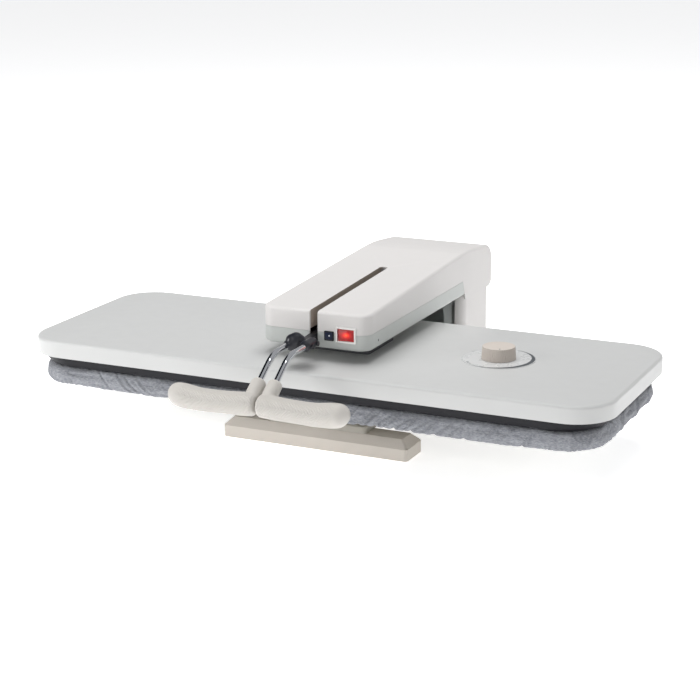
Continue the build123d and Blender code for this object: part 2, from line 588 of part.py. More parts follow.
SOCKET_R = 7.6
YOKE_PLANE = Plane(origin=(0, YOKE_REAR, 0), x_dir=(1, 0, 0), z_dir=(0, -1, 0))
with BuildPart() as handle_yoke:
    with BuildSketch(YOKE_PLANE):
        with Locations((-ROD_X, ROD_Z - 0.5), (ROD_X, ROD_Z - 0.5)):
            Circle(SOCKET_R)
        with Locations((-5, ROD_Z + 5)):
            Circle(SOCKET_R + 1.5)
        with Locations((0, ROD_Z - 2)):
            Rectangle(2 * ROD_X, 14)
    extrude(amount=YOKE_REAR - YOKE_FRONT)
    fillet(handle_yoke.faces().sort_by(Axis.Y)[0].edges(), radius=3)
    extrude(plan_box(120, -4.1, 4.1, depth(-129), depth(-80)), amount=60, mode=Mode.SUBTRACT)
    extrude(plan_box(120, -3, 3, YOKE_FRONT - 5, depth(-131)), amount=60, mode=Mode.SUBTRACT)
    with BuildSketch(YOKE_PLANE.offset(2)):
        with Locations((-ROD_X, ROD_Z), (ROD_X, ROD_Z)):
            Circle(ROD_R + 0.05)
    extrude(amount=60, mode=Mode.SUBTRACT)
save(handle_yoke.part, "handle_yoke")

with BuildPart() as yoke_screws:
    for side in (-1, 1):
        extrude(discs(Plane.YZ.offset(side * (ROD_X + SOCKET_R + 0.2)), 3.2,
                      [(depth(-115), ROD_Z - 0.5), (depth(-130), ROD_Z - 0.5)]), amount=side * 1.2)
save(yoke_screws.part, "yoke_screws")

ROD_CORNER = depth(-180.3)
ROD_SLOPE = math.radians(35)
ROD_END = 54
for rod_name, rod_x in (("rod_left", -ROD_X), ("rod_right", ROD_X)):
    with BuildPart() as rod:
        with BuildLine() as rod_path:
            FilletPolyline((rod_x, depth(-111), ROD_Z), (rod_x, ROD_CORNER, ROD_Z),
                           (rod_x, ROD_CORNER - ROD_END * math.cos(ROD_SLOPE),
                            ROD_Z - ROD_END * math.sin(ROD_SLOPE)), radius=50)
        with BuildSketch(Plane(origin=rod_path.line @ 0, z_dir=rod_path.line % 0)):
            Circle(ROD_R)
        sweep()
    save(rod.part, rod_name)

POST_START = 44
for grip_name, side in (("grip_left", -1), ("grip_right", 1)):
    with BuildPart() as grip:
        stations = ((1.5, 14.2, 0), (14, 15, -0.2), (45, 14.3, -1.6), (78, 14.8, -2.2), (104, 16, -0.4),
                    (117, 14, 0.2), (122.5, 8, 0.4))
        for along, radius, rise in stations:
            with BuildSketch(Plane.YZ.offset(side * along)):
                with Locations((GRIP_Y, GRIP_Z + rise)):
                    Ellipse(radius, radius * 0.98)
        loft()
        post_plane = Plane(origin=(side * ROD_X, ROD_CORNER - POST_START * math.cos(ROD_SLOPE),
                                   ROD_Z - POST_START * math.sin(ROD_SLOPE)),
                           x_dir=(1, 0, 0), z_dir=(0, -math.cos(ROD_SLOPE), -math.sin(ROD_SLOPE)))
        with BuildSketch(post_plane):
            Circle(9.4)
        extrude(amount=28)
        with BuildSketch(post_plane.offset(-1)):
            Circle(ROD_R + 0.05)
        extrude(amount=ROD_END - POST_START + 1.5, mode=Mode.SUBTRACT)
    save(grip.part, grip_name)

# ---------------------------------------------------------------- heated plate
with BuildPart() as plate_cover:
    extrude(plate_outline(COVER_BOTTOM, PLATE_LENGTH, PLATE_WIDTH, PLATE_CORNER),
            amount=PLATE_TOP - COVER_BOTTOM)
    fillet(plate_cover.faces().sort_by(Axis.Z)[-1].edges(), radius=4)
    offset(amount=-2, openings=plate_cover.faces().sort_by(Axis.Z)[0])
    extrude(discs(Plane.XY.offset(110), 3.5, [(DIAL_X, DIAL_Y)]), amount=20, mode=Mode.SUBTRACT)
save(plate_cover.part, "plate_cover")

SOLE_LENGTH = 771.4
SOLE_WIDTH = 275.4
with BuildPart() as plate_rim:
    add(plate_outline(RIM_BOTTOM, 782, 287, 57))
    add(plate_outline(COVER_BOTTOM - 1, 798, 294, 54))
    loft()
    fillet(plate_rim.faces().sort_by(Axis.Z)[0].edges(), radius=1.2)
    extrude(plate_outline(COVER_BOTTOM - 1, 804, 296, 52), amount=1)
    extrude(plate_outline(COVER_BOTTOM - 0.5, 803, 295, 51), amount=4)
    extrude(plate_outline(80, SOLE_LENGTH + 0.6, SOLE_WIDTH + 0.6, 51.3), amount=30, mode=Mode.SUBTRACT)
save(plate_rim.part, "plate_rim")

with BuildPart() as sole_plate:
    extrude(plate_outline(SOLE_BOTTOM, SOLE_LENGTH, SOLE_WIDTH, 51), amount=SOLE_TOP - SOLE_BOTTOM)
    fillet(sole_plate.faces().sort_by(Axis.Z)[0].edges(), radius=1.5)
save(sole_plate.part, "sole_plate")

ELEMENT_R = 3.2
ELEMENT_Z = SOLE_TOP + ELEMENT_R
RUN_HALF = 350
RUN_GAP = 34
RUNS = 6
with BuildPart() as heating_element:
    with BuildLine() as element_path:
        corners = []
        for run in range(RUNS):
            run_y = depth((run - (RUNS - 1) / 2) * RUN_GAP)
            ends = (-RUN_HALF, RUN_HALF) if run % 2 == 0 else (RUN_HALF, -RUN_HALF)
            first = 60 if run == 0 else ends[0]
            last = 60 if run == RUNS - 1 else ends[1]
            corners += [(first, run_y, ELEMENT_Z), (last, run_y, ELEMENT_Z)]
        FilletPolyline(*corners, radius=RUN_GAP / 2 - 1)
    with BuildSketch(Plane(origin=element_path.line @ 0, z_dir=element_path.line % 0)):
        Circle(ELEMENT_R)
    sweep()
save(heating_element.part, "heating_element")

with BuildPart() as heat_shield:
    extrude(plate_outline(99.5, SOLE_LENGTH - 8, SOLE_WIDTH - 8, 47), amount=0.8)
    extrude(discs(Plane.XY.offset(90), 18, [(DIAL_X, DIAL_Y)]), amount=20, mode=Mode.SUBTRACT)
save(heat_shield.part, "heat_shield")

with BuildPart() as insulation_mat:
    extrude(plate_outline(100.6, SOLE_LENGTH - 16, SOLE_WIDTH - 16, 43), amount=9)
    extrude(discs(Plane.XY.offset(90), 20, [(DIAL_X, DIAL_Y)]), amount=30, mode=Mode.SUBTRACT)
save(insulation_mat.part, "insulation_mat")

with BuildPart() as thermostat:
    extrude(discs(Plane.XY.offset(SOLE_TOP), 4, [(DIAL_X, DIAL_Y)]), amount=7)
    extrude(discs(Plane.XY.offset(SOLE_TOP + 7), 15, [(DIAL_X, DIAL_Y)]), amount=12)
    extrude(discs(Plane.XY.offset(SOLE_TOP + 19), 6, [(DIAL_X, DIAL_Y)]), amount=5)
    extrude(discs(Plane.XY.offset(SOLE_TOP + 9), 3.05, [(DIAL_X, DIAL_Y)]), amount=20, mode=Mode.SUBTRACT)
save(thermostat.part, "thermostat")

with BuildPart() as thermal_fuse:
    with BuildSketch(Plane.YZ.offset(100)):
        with Locations((depth(0), SOLE_TOP + 3.2)):
            Circle(3)
    extrude(amount=26)
save(thermal_fuse.part, "thermal_fuse")

BRACKET_BOLTS = [(x, depth(y)) for x in (-44, 44) for y in (-32, 32)]
with BuildPart() as plate_stiffener:
    extrude(plan_box(115.8, -70, 70, depth(-50), depth(50), 6), amount=3)
save(plate_stiffener.part, "plate_stiffener")

ROLLER_R = 7
ROLLER_Z = 138.7
with BuildPart() as press_bracket:
    extrude(plan_box(PLATE_TOP + 0.1, -56, 56, depth(-42), depth(42), 5), amount=4)
    for cheek_x in (-13, 9):
        extrude(plan_box(PLATE_TOP + 4, cheek_x, cheek_x + 4, depth(-10), depth(10)), amount=18.5)
    extrude(discs(Plane.YZ.offset(-20), 3.05, [(PLATE_Y, ROLLER_Z)]), amount=40, mode=Mode.SUBTRACT)
save(press_bracket.part, "press_bracket")

with BuildPart() as bracket_bolts:
    with BuildSketch(Plane.XY.offset(PLATE_TOP + 4.1)):
        with Locations(*BRACKET_BOLTS):
            RegularPolygon(4.6, 6)
    extrude(amount=3.2)
save(bracket_bolts.part, "bracket_bolts")

with BuildPart() as pressure_roller:
    extrude(discs(Plane.YZ.offset(-8), ROLLER_R, [(PLATE_Y, ROLLER_Z)]), amount=16)
    extrude(discs(Plane.YZ.offset(-10), 3.05, [(PLATE_Y, ROLLER_Z)]), amount=20, mode=Mode.SUBTRACT)
save(pressure_roller.part, "pressure_roller")

with BuildPart() as roller_pin:
    extrude(discs(Plane.YZ.offset(-14), 3, [(PLATE_Y, ROLLER_Z)]), amount=28)
save(roller_pin.part, "roller_pin")

with BuildPart() as guide_posts:
    extrude(discs(Plane.XY.offset(PLATE_TOP + 4.1), POST_R, [(-POST_X, PLATE_Y), (POST_X, PLATE_Y)]),
            amount=46)
    extrude(discs(Plane.XY.offset(PLATE_TOP + 4.1), 7, [(-POST_X, PLATE_Y), (POST_X, PLATE_Y)]), amount=3)
save(guide_posts.part, "guide_posts")

with BuildPart() as post_nuts:
    extrude(discs(Plane.XY.offset(165), 7.5, [(-POST_X, PLATE_Y), (POST_X, PLATE_Y)]), amount=1.2)
    with BuildSketch(Plane.XY.offset(166.2)):
        with Locations((-POST_X, PLATE_Y), (POST_X, PLATE_Y)):
            RegularPolygon(6.4, 6)
    extrude(amount=4)
    extrude(discs(Plane.XY.offset(160), POST_R, [(-POST_X, PLATE_Y), (POST_X, PLATE_Y)]), amount=20,
            mode=Mode.SUBTRACT)
save(post_nuts.part, "post_nuts")

with BuildPart() as dial_plate:
    extrude(discs(Plane.XY.offset(PLATE_TOP), 48, [(DIAL_X, DIAL_Y)]), amount=0.5)
    extrude(discs(Plane.XY.offset(PLATE_TOP - 1), 3.5, [(DIAL_X, DIAL_Y)]), amount=5, mode=Mode.SUBTRACT)
save(dial_plate.part, "dial_plate")

# ---------------------------------------------------------------- thermostat knob
KNOB_R = 22.2
KNOB_FLUTES = 56
KNOB_BOTTOM = PLATE_TOP + 0.8
KNOB_TOP = PLATE_TOP + 17
with BuildPart() as thermostat_knob:
    with BuildSketch(Plane.XY.offset(KNOB_BOTTOM)):
        with Locations((DIAL_X, DIAL_Y)):
            Circle(KNOB_R)
            with PolarLocations(KNOB_R + 0.3, KNOB_FLUTES):
                Circle(0.75, mode=Mode.SUBTRACT)
    extrude(amount=KNOB_TOP - KNOB_BOTTOM, taper=4)
    extrude(discs(Plane.XY.offset(KNOB_BOTTOM - 1), 3.0, [(DIAL_X, DIAL_Y)]), amount=13, mode=Mode.SUBTRACT)
save(thermostat_knob.part, "thermostat_knob")

with BuildPart() as knob_shaft:
    extrude(discs(Plane.XY.offset(SOLE_TOP + 9.2), 3, [(DIAL_X, DIAL_Y)]),
            amount=KNOB_BOTTOM + 11 - SOLE_TOP - 9.2)
save(knob_shaft.part, "knob_shaft")
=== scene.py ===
"""Looks of a tabletop ironing press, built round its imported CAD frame.

Lengths are metres in the row frame: X along the board, Y from the user to the column, Z up.
"""

import json
import math

import bmesh
import bpy
import numpy as np
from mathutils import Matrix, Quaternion, Vector, noise


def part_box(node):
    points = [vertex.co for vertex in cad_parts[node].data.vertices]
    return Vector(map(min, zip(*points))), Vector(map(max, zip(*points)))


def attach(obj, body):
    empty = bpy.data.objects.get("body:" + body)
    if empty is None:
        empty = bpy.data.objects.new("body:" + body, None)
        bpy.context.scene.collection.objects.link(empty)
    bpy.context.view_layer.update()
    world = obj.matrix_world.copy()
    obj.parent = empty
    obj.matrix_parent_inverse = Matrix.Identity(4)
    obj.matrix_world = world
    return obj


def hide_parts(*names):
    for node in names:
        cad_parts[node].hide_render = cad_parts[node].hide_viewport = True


MM = 0.001

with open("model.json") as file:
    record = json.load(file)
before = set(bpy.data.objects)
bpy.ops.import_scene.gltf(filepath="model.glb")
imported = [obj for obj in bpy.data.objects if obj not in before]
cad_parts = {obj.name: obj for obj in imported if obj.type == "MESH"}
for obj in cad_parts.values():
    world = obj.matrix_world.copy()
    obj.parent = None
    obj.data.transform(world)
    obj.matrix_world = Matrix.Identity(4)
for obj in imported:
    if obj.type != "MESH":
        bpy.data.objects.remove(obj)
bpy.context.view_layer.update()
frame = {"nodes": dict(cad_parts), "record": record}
NODES = frame["nodes"]
RECORD = frame["record"]


# ---------------------------------------------------------------- camera, floor and light
CAMERA_PLACE = (0.9894, -2.1613, 0.763)
CAMERA_AZIMUTH = math.radians(24.86)
CAMERA_ELEVATION = math.radians(15.62)
CAMERA_ROLL = math.radians(0.287)
CAMERA_LENS = 94.07
FLOOR_HALF = 30.0
FLOOR_GLOW = 0.60
WORLD_STRENGTH = 0.40
SKY_LOW = (0.80, 0.81, 0.83)
SKY_HIGH = (0.94, 0.95, 0.97)
FLAG_TONE = (0.02, 0.025, 0.035)
FLAG_FADE = 2
DARK_FLAGS = [((-0.80, 0.40, 0.44), 20), ((-0.56, 0.12, 0.82), 23), ((0.77, 0.30, 0.55), 7)]


def place_camera():
    data = bpy.data.cameras.new("camera")
    data.lens = CAMERA_LENS
    data.sensor_width = 36
    data.clip_end = 200
    camera = bpy.data.objects.new("camera", data)
    bpy.context.scene.collection.objects.link(camera)
    camera.rotation_mode = "QUATERNION"
    level = math.cos(CAMERA_ELEVATION)
    forward = Vector((-math.sin(CAMERA_AZIMUTH) * level, math.cos(CAMERA_AZIMUTH) * level,
                      -math.sin(CAMERA_ELEVATION)))
    turn = forward.to_track_quat("-Z", "Y")
    camera.rotation_quaternion = turn @ Quaternion((0, 0, 1), -CAMERA_ROLL)
    camera.location = CAMERA_PLACE
    bpy.context.scene.camera = camera


def soft_light(name, place, aim, size, power, tint=(1, 1, 1)):
    data = bpy.data.lights.new(name, "AREA")
    data.shape = "RECTANGLE"
    data.size, data.size_y = size
    data.energy = power
    data.color = tint
    lamp = bpy.data.objects.new(name, data)
    bpy.context.scene.collection.objects.link(lamp)
    lamp.location = place
    lamp.rotation_mode = "QUATERNION"
    lamp.rotation_quaternion = (Vector(aim) - Vector(place)).to_track_quat("-Z", "Y")
    return lamp


def light_world():
    world = bpy.data.worlds.new("studio")
    bpy.context.scene.world = world
    world.use_nodes = True
    tree = world.node_tree
    ground = tree.nodes["Background"]
    where = tree.nodes.new("ShaderNodeTexCoord")
    split = tree.nodes.new("ShaderNodeSeparateXYZ")
    tree.links.new(where.outputs["Generated"], split.inputs[0])
    colour = ramp(tree, split.outputs["Z"], [(0.0, SKY_LOW), (1.0, SKY_HIGH)])
    for aim, half_angle in DARK_FLAGS:
        colour = dark_patch(tree, where.outputs["Generated"], colour, aim, half_angle)
    tree.links.new(colour, ground.inputs["Color"])
    ground.inputs["Strength"].default_value = WORLD_STRENGTH


def dark_patch(tree, direction, colour, aim, half_angle):
    """A dark card in the surroundings, which bright metal mirrors."""
    flag = tree.nodes.new("ShaderNodeVectorMath")
    flag.operation = "DOT_PRODUCT"
    tree.links.new(direction, flag.inputs[0])
    flag.inputs[1].default_value = Vector(aim).normalized()
    edge = map_range(tree, flag.outputs["Value"], math.cos(math.radians(half_angle + FLAG_FADE)),
                     math.cos(math.radians(half_angle - FLAG_FADE)), 0, 1)
    return blend(tree, edge, colour, FLAG_TONE)


def lay_floor():
    mesh = bpy.data.meshes.new("floor")
    half = FLOOR_HALF
    mesh.from_pydata([(-half, -half, 0), (half, -half, 0), (half, half, 0), (-half, half, 0)], [],
                     [(0, 1, 2, 3)])
    floor = bpy.data.objects.new("floor", mesh)
    bpy.context.scene.collection.objects.link(floor)
    paper = plastic("floor_paper", (0.93, 0.93, 0.93), 0.01, 0.8, 40, 0.0)
    surface = paper.node_tree.nodes["Principled BSDF"]
    surface.inputs["Emission Color"].default_value = (1, 1, 1, 1)
    surface.inputs["Emission Strength"].default_value = FLOOR_GLOW
    floor.data.materials.append(paper)


# ---------------------------------------------------------------- materials
def new_material(name):
    made = bpy.data.materials.new(name)
    made.use_nodes = True
    return made, made.node_tree, made.node_tree.nodes["Principled BSDF"]


def coordinates(tree, stretch=(1, 1, 1)):
    """The row frame's own coordinates, stretched."""
    where = tree.nodes.new("ShaderNodeTexCoord")
    mapping = tree.nodes.new("ShaderNodeMapping")
    mapping.inputs["Scale"].default_value = stretch
    tree.links.new(where.outputs["Object"], mapping.inputs["Vector"])
    return mapping.outputs["Vector"]


def noise_value(tree, scale, detail=3.0, stretch=(1, 1, 1), roughness=0.5):
    texture = tree.nodes.new("ShaderNodeTexNoise")
    texture.inputs["Scale"].default_value = scale
    texture.inputs["Detail"].default_value = detail
    texture.inputs["Roughness"].default_value = roughness
    tree.links.new(coordinates(tree, stretch), texture.inputs["Vector"])
    return texture.outputs["Fac"]


def wave_value(tree, scale, direction, distortion=0.0):
    texture = tree.nodes.new("ShaderNodeTexWave")
    texture.bands_direction = direction
    texture.inputs["Scale"].default_value = scale
    texture.inputs["Distortion"].default_value = distortion
    texture.inputs["Detail"].default_value = 1.0
    tree.links.new(coordinates(tree), texture.inputs["Vector"])
    return texture.outputs["Fac"]


def maths(tree, operation, first, second):
    node = tree.nodes.new("ShaderNodeMath")
    node.operation = operation
    for socket, value in zip(node.inputs, (first, second)):
        if isinstance(value, (int, float)):
            socket.default_value = value
        else:
            tree.links.new(value, socket)
    return node.outputs[0]


def ramp(tree, value, stops):
    """A colour ramp: stops are (position, colour)."""
    node = tree.nodes.new("ShaderNodeValToRGB")
    elements = node.color_ramp.elements
    while len(elements) < len(stops):
        elements.new(0.5)
    for element, (position, colour) in zip(elements, stops):
        element.position = position
        element.color = (*colour, 1)
    tree.links.new(value, node.inputs["Fac"])
    return node.outputs["Color"]


def map_range(tree, value, from_low, from_high, low, high):
    node = tree.nodes.new("ShaderNodeMapRange")
    node.inputs["From Min"].default_value = from_low
    node.inputs["From Max"].default_value = from_high
    node.inputs["To Min"].default_value = low
    node.inputs["To Max"].default_value = high
    tree.links.new(value, node.inputs["Value"])
    return node.outputs["Result"]


def spread(tree, value, low, high):
    """Maps the middle of a noise on to low..high."""
    return map_range(tree, value, 0.3, 0.7, low, high)


def blend(tree, factor, colour, tone):
    """Colour where the factor is 0, the fixed tone where it is 1."""
    mix = tree.nodes.new("ShaderNodeMix")
    mix.data_type = "RGBA"
    tree.links.new(factor, mix.inputs["Factor"])
    tree.links.new(colour, mix.inputs["A"])
    mix.inputs["B"].default_value = (*tone, 1)
    return mix.outputs["Result"]


def bump(tree, shader, height, distance, before=None):
    node = tree.nodes.new("ShaderNodeBump")
    node.inputs["Distance"].default_value = distance
    tree.links.new(height, node.inputs["Height"])
    if before is not None:
        tree.links.new(before, node.inputs["Normal"])
    tree.links.new(node.outputs["Normal"], shader.inputs["Normal"])
    return node.outputs["Normal"]


def shade(tone, factor):
    return tuple(min(1.0, channel * factor) for channel in tone)


# Pointiness range of the lightened edges, part wear and part painted highlight.
EDGE_LOW = 0.52
EDGE_HIGH = 0.62


def worn_and_highlit_edges(tree, colour, tone, amount):
    """Lightens the outer edges a little: partly wear where handling polishes them, partly a painted highlight
    where the edges catch the light.
    """
    geometry = tree.nodes.new("ShaderNodeNewGeometry")
    edge = map_range(tree, geometry.outputs["Pointiness"], EDGE_LOW, EDGE_HIGH, 0, amount)
    return blend(tree, edge, colour, tone)


def plastic(name, tone, variation, roughness, grain, relief, specular=0.4, coat=0.0, wear_and_highlight=0.25):
    """Moulded or painted shell: cloudy tone, fine pebbled grain, slightly lightened edges that are part wear
    and part painted highlight.
    """
    made, tree, shader = new_material(name)
    clouds = noise_value(tree, 9, 4)
    specks = noise_value(tree, grain, 2)
    cloudy = maths(tree, "ADD", maths(tree, "MULTIPLY", clouds, 0.7), maths(tree, "MULTIPLY", specks, 0.3))
    colour = ramp(tree, cloudy, [(0.3, shade(tone, 1 - variation)), (0.7, shade(tone, 1 + variation))])
    # Lighter convex edges: part handling wear, part a painted highlight where the edges catch the light.
    colour = worn_and_highlit_edges(tree, colour, shade(tone, 1.12), wear_and_highlight)
    tree.links.new(colour, shader.inputs["Base Color"])
    tree.links.new(spread(tree, noise_value(tree, 60, 3), roughness - 0.04, roughness + 0.04),
                   shader.inputs["Roughness"])
    shader.inputs["Specular IOR Level"].default_value = specular
    shader.inputs["Coat Weight"].default_value = coat
    shader.inputs["Coat Roughness"].default_value = 0.25
    if relief:
        bump(tree, shader, noise_value(tree, grain, 3, roughness=0.6), relief)
    return made


# Warm grey-brown painted shade for the lever slot's inner walls.
SLOT_SHADE_TONE = (0.44, 0.38, 0.33)
SLOT_REACH = 10 * MM


def shell_with_shaded_slot(name, tone):
    """Pale shell whose lever slot and inner walls carry a warm grey-brown painted shade, standing in for the
    shadow in the slot.
    """
    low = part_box("arm_top_cover")[0]
    blade_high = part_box("lever_blade")[1]
    made = plastic(name, tone, 0.012, 0.42, 1700, 0.00004)
    tree = made.node_tree
    shader = tree.nodes["Principled BSDF"]
    painted = shader.inputs["Base Color"].links[0].from_socket
    split = tree.nodes.new("ShaderNodeSeparateXYZ")
    tree.links.new(coordinates(tree), split.inputs[0])
    width = maths(tree, "LESS_THAN", maths(tree, "ABSOLUTE", split.outputs["X"], 0), SLOT_REACH)
    facing = tree.nodes.new("ShaderNodeNewGeometry")
    normal = tree.nodes.new("ShaderNodeSeparateXYZ")
    tree.links.new(facing.outputs["Normal"], normal.inputs[0])
    upright = maths(tree, "LESS_THAN", maths(tree, "ABSOLUTE", normal.outputs["Z"], 0), 0.6)
    inner = maths(tree, "LESS_THAN", split.outputs["Y"], blade_high.y)
    behind = maths(tree, "GREATER_THAN", split.outputs["Y"], low.y + 4 * MM)
    # Painted shade: only the upright inner walls of the slot take the darker tone, from just behind the
    # cover's front edge to the blade's rear end.
    slot_shade_mask = maths(tree, "MULTIPLY", maths(tree, "MULTIPLY", width, upright),
                 maths(tree, "MULTIPLY", inner, behind))
    tree.links.new(blend(tree, slot_shade_mask, painted, SLOT_SHADE_TONE), shader.inputs["Base Color"])
    return made


def metal(name, tone, roughness, brush=(1, 1, 1), relief=0.00002, variation=0.06):
    """Bare or plated metal with drawn or turned marks along the stretched direction."""
    made, tree, shader = new_material(name)
    marks = noise_value(tree, 900, 3, brush)
    tree.links.new(ramp(tree, noise_value(tree, 25, 5), [(0.3, shade(tone, 1 - variation)),
                                                         (0.7, shade(tone, 1 + variation))]),
                   shader.inputs["Base Color"])
    tree.links.new(spread(tree, marks, roughness * 0.8, roughness * 1.25), shader.inputs["Roughness"])
    shader.inputs["Metallic"].default_value = 1.0
    bump(tree, shader, marks, relief)
    return made


def heather_fabric(name):
    """Grey melange cotton: pale and dark fibres, a plain weave, faint slubs."""
    made, tree, shader = new_material(name)
    fibres = noise_value(tree, 700, 4, (0.35, 0.6, 1.3), 0.7)
    slubs = noise_value(tree, 90, 3, (0.3, 0.6, 1.6))
    clouds = noise_value(tree, 12, 2)
    melange = maths(tree, "ADD", maths(tree, "MULTIPLY", fibres, 0.80), maths(tree, "MULTIPLY", slubs, 0.13))
    melange = maths(tree, "ADD", melange, maths(tree, "MULTIPLY", clouds, 0.07))
    colour = ramp(tree, melange, [(0.34, (0.17, 0.177, 0.20)), (0.5, (0.285, 0.293, 0.318)),
                                (0.66, (0.45, 0.458, 0.485))])
    tree.links.new(colour, shader.inputs["Base Color"])
    weave = maths(tree, "ADD", wave_value(tree, 260, "X", 0.4), wave_value(tree, 260, "Y", 0.4))
    weave = maths(tree, "ADD", weave, wave_value(tree, 260, "Z", 0.4))
    tree.links.new(spread(tree, fibres, 0.82, 0.95), shader.inputs["Roughness"])
    shader.inputs["Specular IOR Level"].default_value = 0.15
    shader.inputs["Sheen Weight"].default_value = 0.25
    shader.inputs["Sheen Roughness"].default_value = 0.45
    first = bump(tree, shader, weave, 0.00012)
    bump(tree, shader, slubs, 0.0004, first)
    return made


def foam(name, tone, pore):
    made, tree, shader = new_material(name)
    cells = tree.nodes.new("ShaderNodeTexVoronoi")
    cells.inputs["Scale"].default_value = pore
    tree.links.new(coordinates(tree), cells.inputs["Vector"])
    tree.links.new(ramp(tree, cells.outputs["Distance"], [(0.05, shade(tone, 0.7)), (0.5, tone)]),
                   shader.inputs["Base Color"])
    shader.inputs["Roughness"].default_value = 0.95
    bump(tree, shader, cells.outputs["Distance"], 0.0004)
    return made


def lit_rocker(name, centre):
    """Clear red cap with a lamp behind it: glowing orange in the middle, deep red at its edges."""
    made, tree, shader = new_material(name)
    where = coordinates(tree)
    offset = tree.nodes.new("ShaderNodeVectorMath")
    offset.operation = "SUBTRACT"
    tree.links.new(where, offset.inputs[0])
    offset.inputs[1].default_value = centre
    flat = tree.nodes.new("ShaderNodeVectorMath")
    flat.operation = "MULTIPLY"
    tree.links.new(offset.outputs[0], flat.inputs[0])
    flat.inputs[1].default_value = (105.0, 0.0, 150.0)
    away = tree.nodes.new("ShaderNodeVectorMath")
    away.operation = "LENGTH"
    tree.links.new(flat.outputs[0], away.inputs[0])
    flare = maths(tree, "ADD", away.outputs["Value"],
                  maths(tree, "MULTIPLY", noise_value(tree, 220, 3), 0.2))
    glow = ramp(tree, flare, [(0.12, (1.0, 0.22, 0.04)), (0.36, (0.92, 0.05, 0.02)),
                              (0.66, (0.42, 0.006, 0.008)), (1.0, (0.07, 0.001, 0.003))])
    tree.links.new(glow, shader.inputs["Emission Color"])
    shader.inputs["Emission Strength"].default_value = 0.9
    tree.links.new(ramp(tree, noise_value(tree, 300, 2),
                        [(0.3, (0.30, 0.008, 0.01)), (0.7, (0.38, 0.014, 0.014))]),
                   shader.inputs["Base Color"])
    shader.inputs["Roughness"].default_value = 0.18
    shader.inputs["Coat Weight"].default_value = 0.6
    return made


def make_materials():
    """One procedural finish for each of the record's material slots."""
    rocker_low, rocker_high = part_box("rocker_cap")
    glow_centre = (rocker_low + rocker_high) / 2
    glow_centre.y = rocker_low.y
    return {
        "foot_beige": plastic("foot_beige", (0.66, 0.61, 0.55), 0.03, 0.5, 1500, 0.00006),
        "rubber_black": plastic("rubber_black", (0.035, 0.035, 0.037), 0.2, 0.75, 900, 0.0001),
        "base_cream": plastic("base_cream", (0.44, 0.415, 0.365), 0.02, 0.45, 1800, 0.00004),
        "steel_painted": plastic("steel_painted", (0.34, 0.33, 0.30), 0.06, 0.42, 500, 0.00008),
        "plastic_black": plastic("plastic_black", (0.017, 0.018, 0.024), 0.15, 0.34, 1300, 0.00005,
                                 specular=0.5),
        "steel_zinc": metal("steel_zinc", (0.62, 0.62, 0.60), 0.36),
        "foam_white": foam("foam_white", (0.82, 0.80, 0.72), 600),
        "cover_fabric": heather_fabric("cover_fabric"),
        "frame_grey": plastic("frame_grey", (0.52, 0.55, 0.54), 0.03, 0.42, 700, 0.00006),
        "shell_pale": shell_with_shaded_slot("shell_pale", (0.70, 0.68, 0.665)),
        "shell_grey": plastic("shell_grey", (0.54, 0.56, 0.54), 0.015, 0.42, 1700, 0.00004),
        "steel_bright": metal("steel_bright", (0.70, 0.70, 0.71), 0.24, (1, 0.05, 0.05)),
        "bronze": metal("bronze", (0.55, 0.36, 0.16), 0.34),
        "circuit_green": plastic("circuit_green", (0.03, 0.16, 0.07), 0.3, 0.4, 400, 0.0002),
        "core_steel": metal("core_steel", (0.36, 0.36, 0.37), 0.45, (1, 1, 30)),
        "bezel_white": plastic("bezel_white", (0.86, 0.84, 0.82), 0.01, 0.3, 2000, 0.00003),
        "steel_dark": metal("steel_dark", (0.10, 0.10, 0.11), 0.4),
        "rod_chrome": metal("rod_chrome", (0.80, 0.81, 0.84), 0.07, (1, 0.04, 0.04), 0.000004, 0.02),
        # Stronger lightened edges on the grips: more handling wear, plus the painted edge highlight.
        "grip_white": plastic("grip_white", (0.555, 0.53, 0.495), 0.015, 0.5, 1500, 0.00005, wear_and_highlight=0.4),
        "plate_pale": plastic("plate_pale", (0.585, 0.588, 0.58), 0.012, 0.34, 1400, 0.00003, coat=0.15),
        "rim_dark": plastic("rim_dark", (0.008, 0.008, 0.011), 0.12, 0.46, 900, 0.00006, specular=0.25),
        "sole_aluminium": metal("sole_aluminium", (0.72, 0.73, 0.74), 0.28, (0.04, 1, 1)),
        "mat_fibre": foam("mat_fibre", (0.86, 0.83, 0.74), 250),
        "plastic_cream": plastic("plastic_cream", (0.72, 0.68, 0.58), 0.04, 0.5, 900, 0.00006),
        "bracket_dark": metal("bracket_dark", (0.16, 0.16, 0.17), 0.42, (1, 0.1, 1)),
        "dial_print": plastic("dial_print", (0.62, 0.625, 0.62), 0.01, 0.28, 1600, 0.00001, coat=0.3),
        # Stronger lightened edges on the knob: more handling wear, plus the painted edge highlight.
        "knob_beige": plastic("knob_beige", (0.62, 0.56, 0.505), 0.02, 0.45, 1500, 0.00004, wear_and_highlight=0.5),
        "rocker_red": lit_rocker("rocker_red", glow_centre),
        "button_navy": plastic("button_navy", (0.018, 0.024, 0.05), 0.15, 0.3, 900, 0.00003),
        "light_white": plastic("light_white", (0.85, 0.88, 0.95), 0.03, 0.2, 900, 0.0),
    }


def dress_nodes(finishes):
    """Every CAD node gets its slot's finish."""
    for part in RECORD["subparts"]:
        piece = NODES[part["node"]]
        finish = finishes[part["material_slot"]]
        if piece.material_slots:
            for holder in piece.material_slots:
                holder.material = finish
        else:
            piece.data.materials.append(finish)


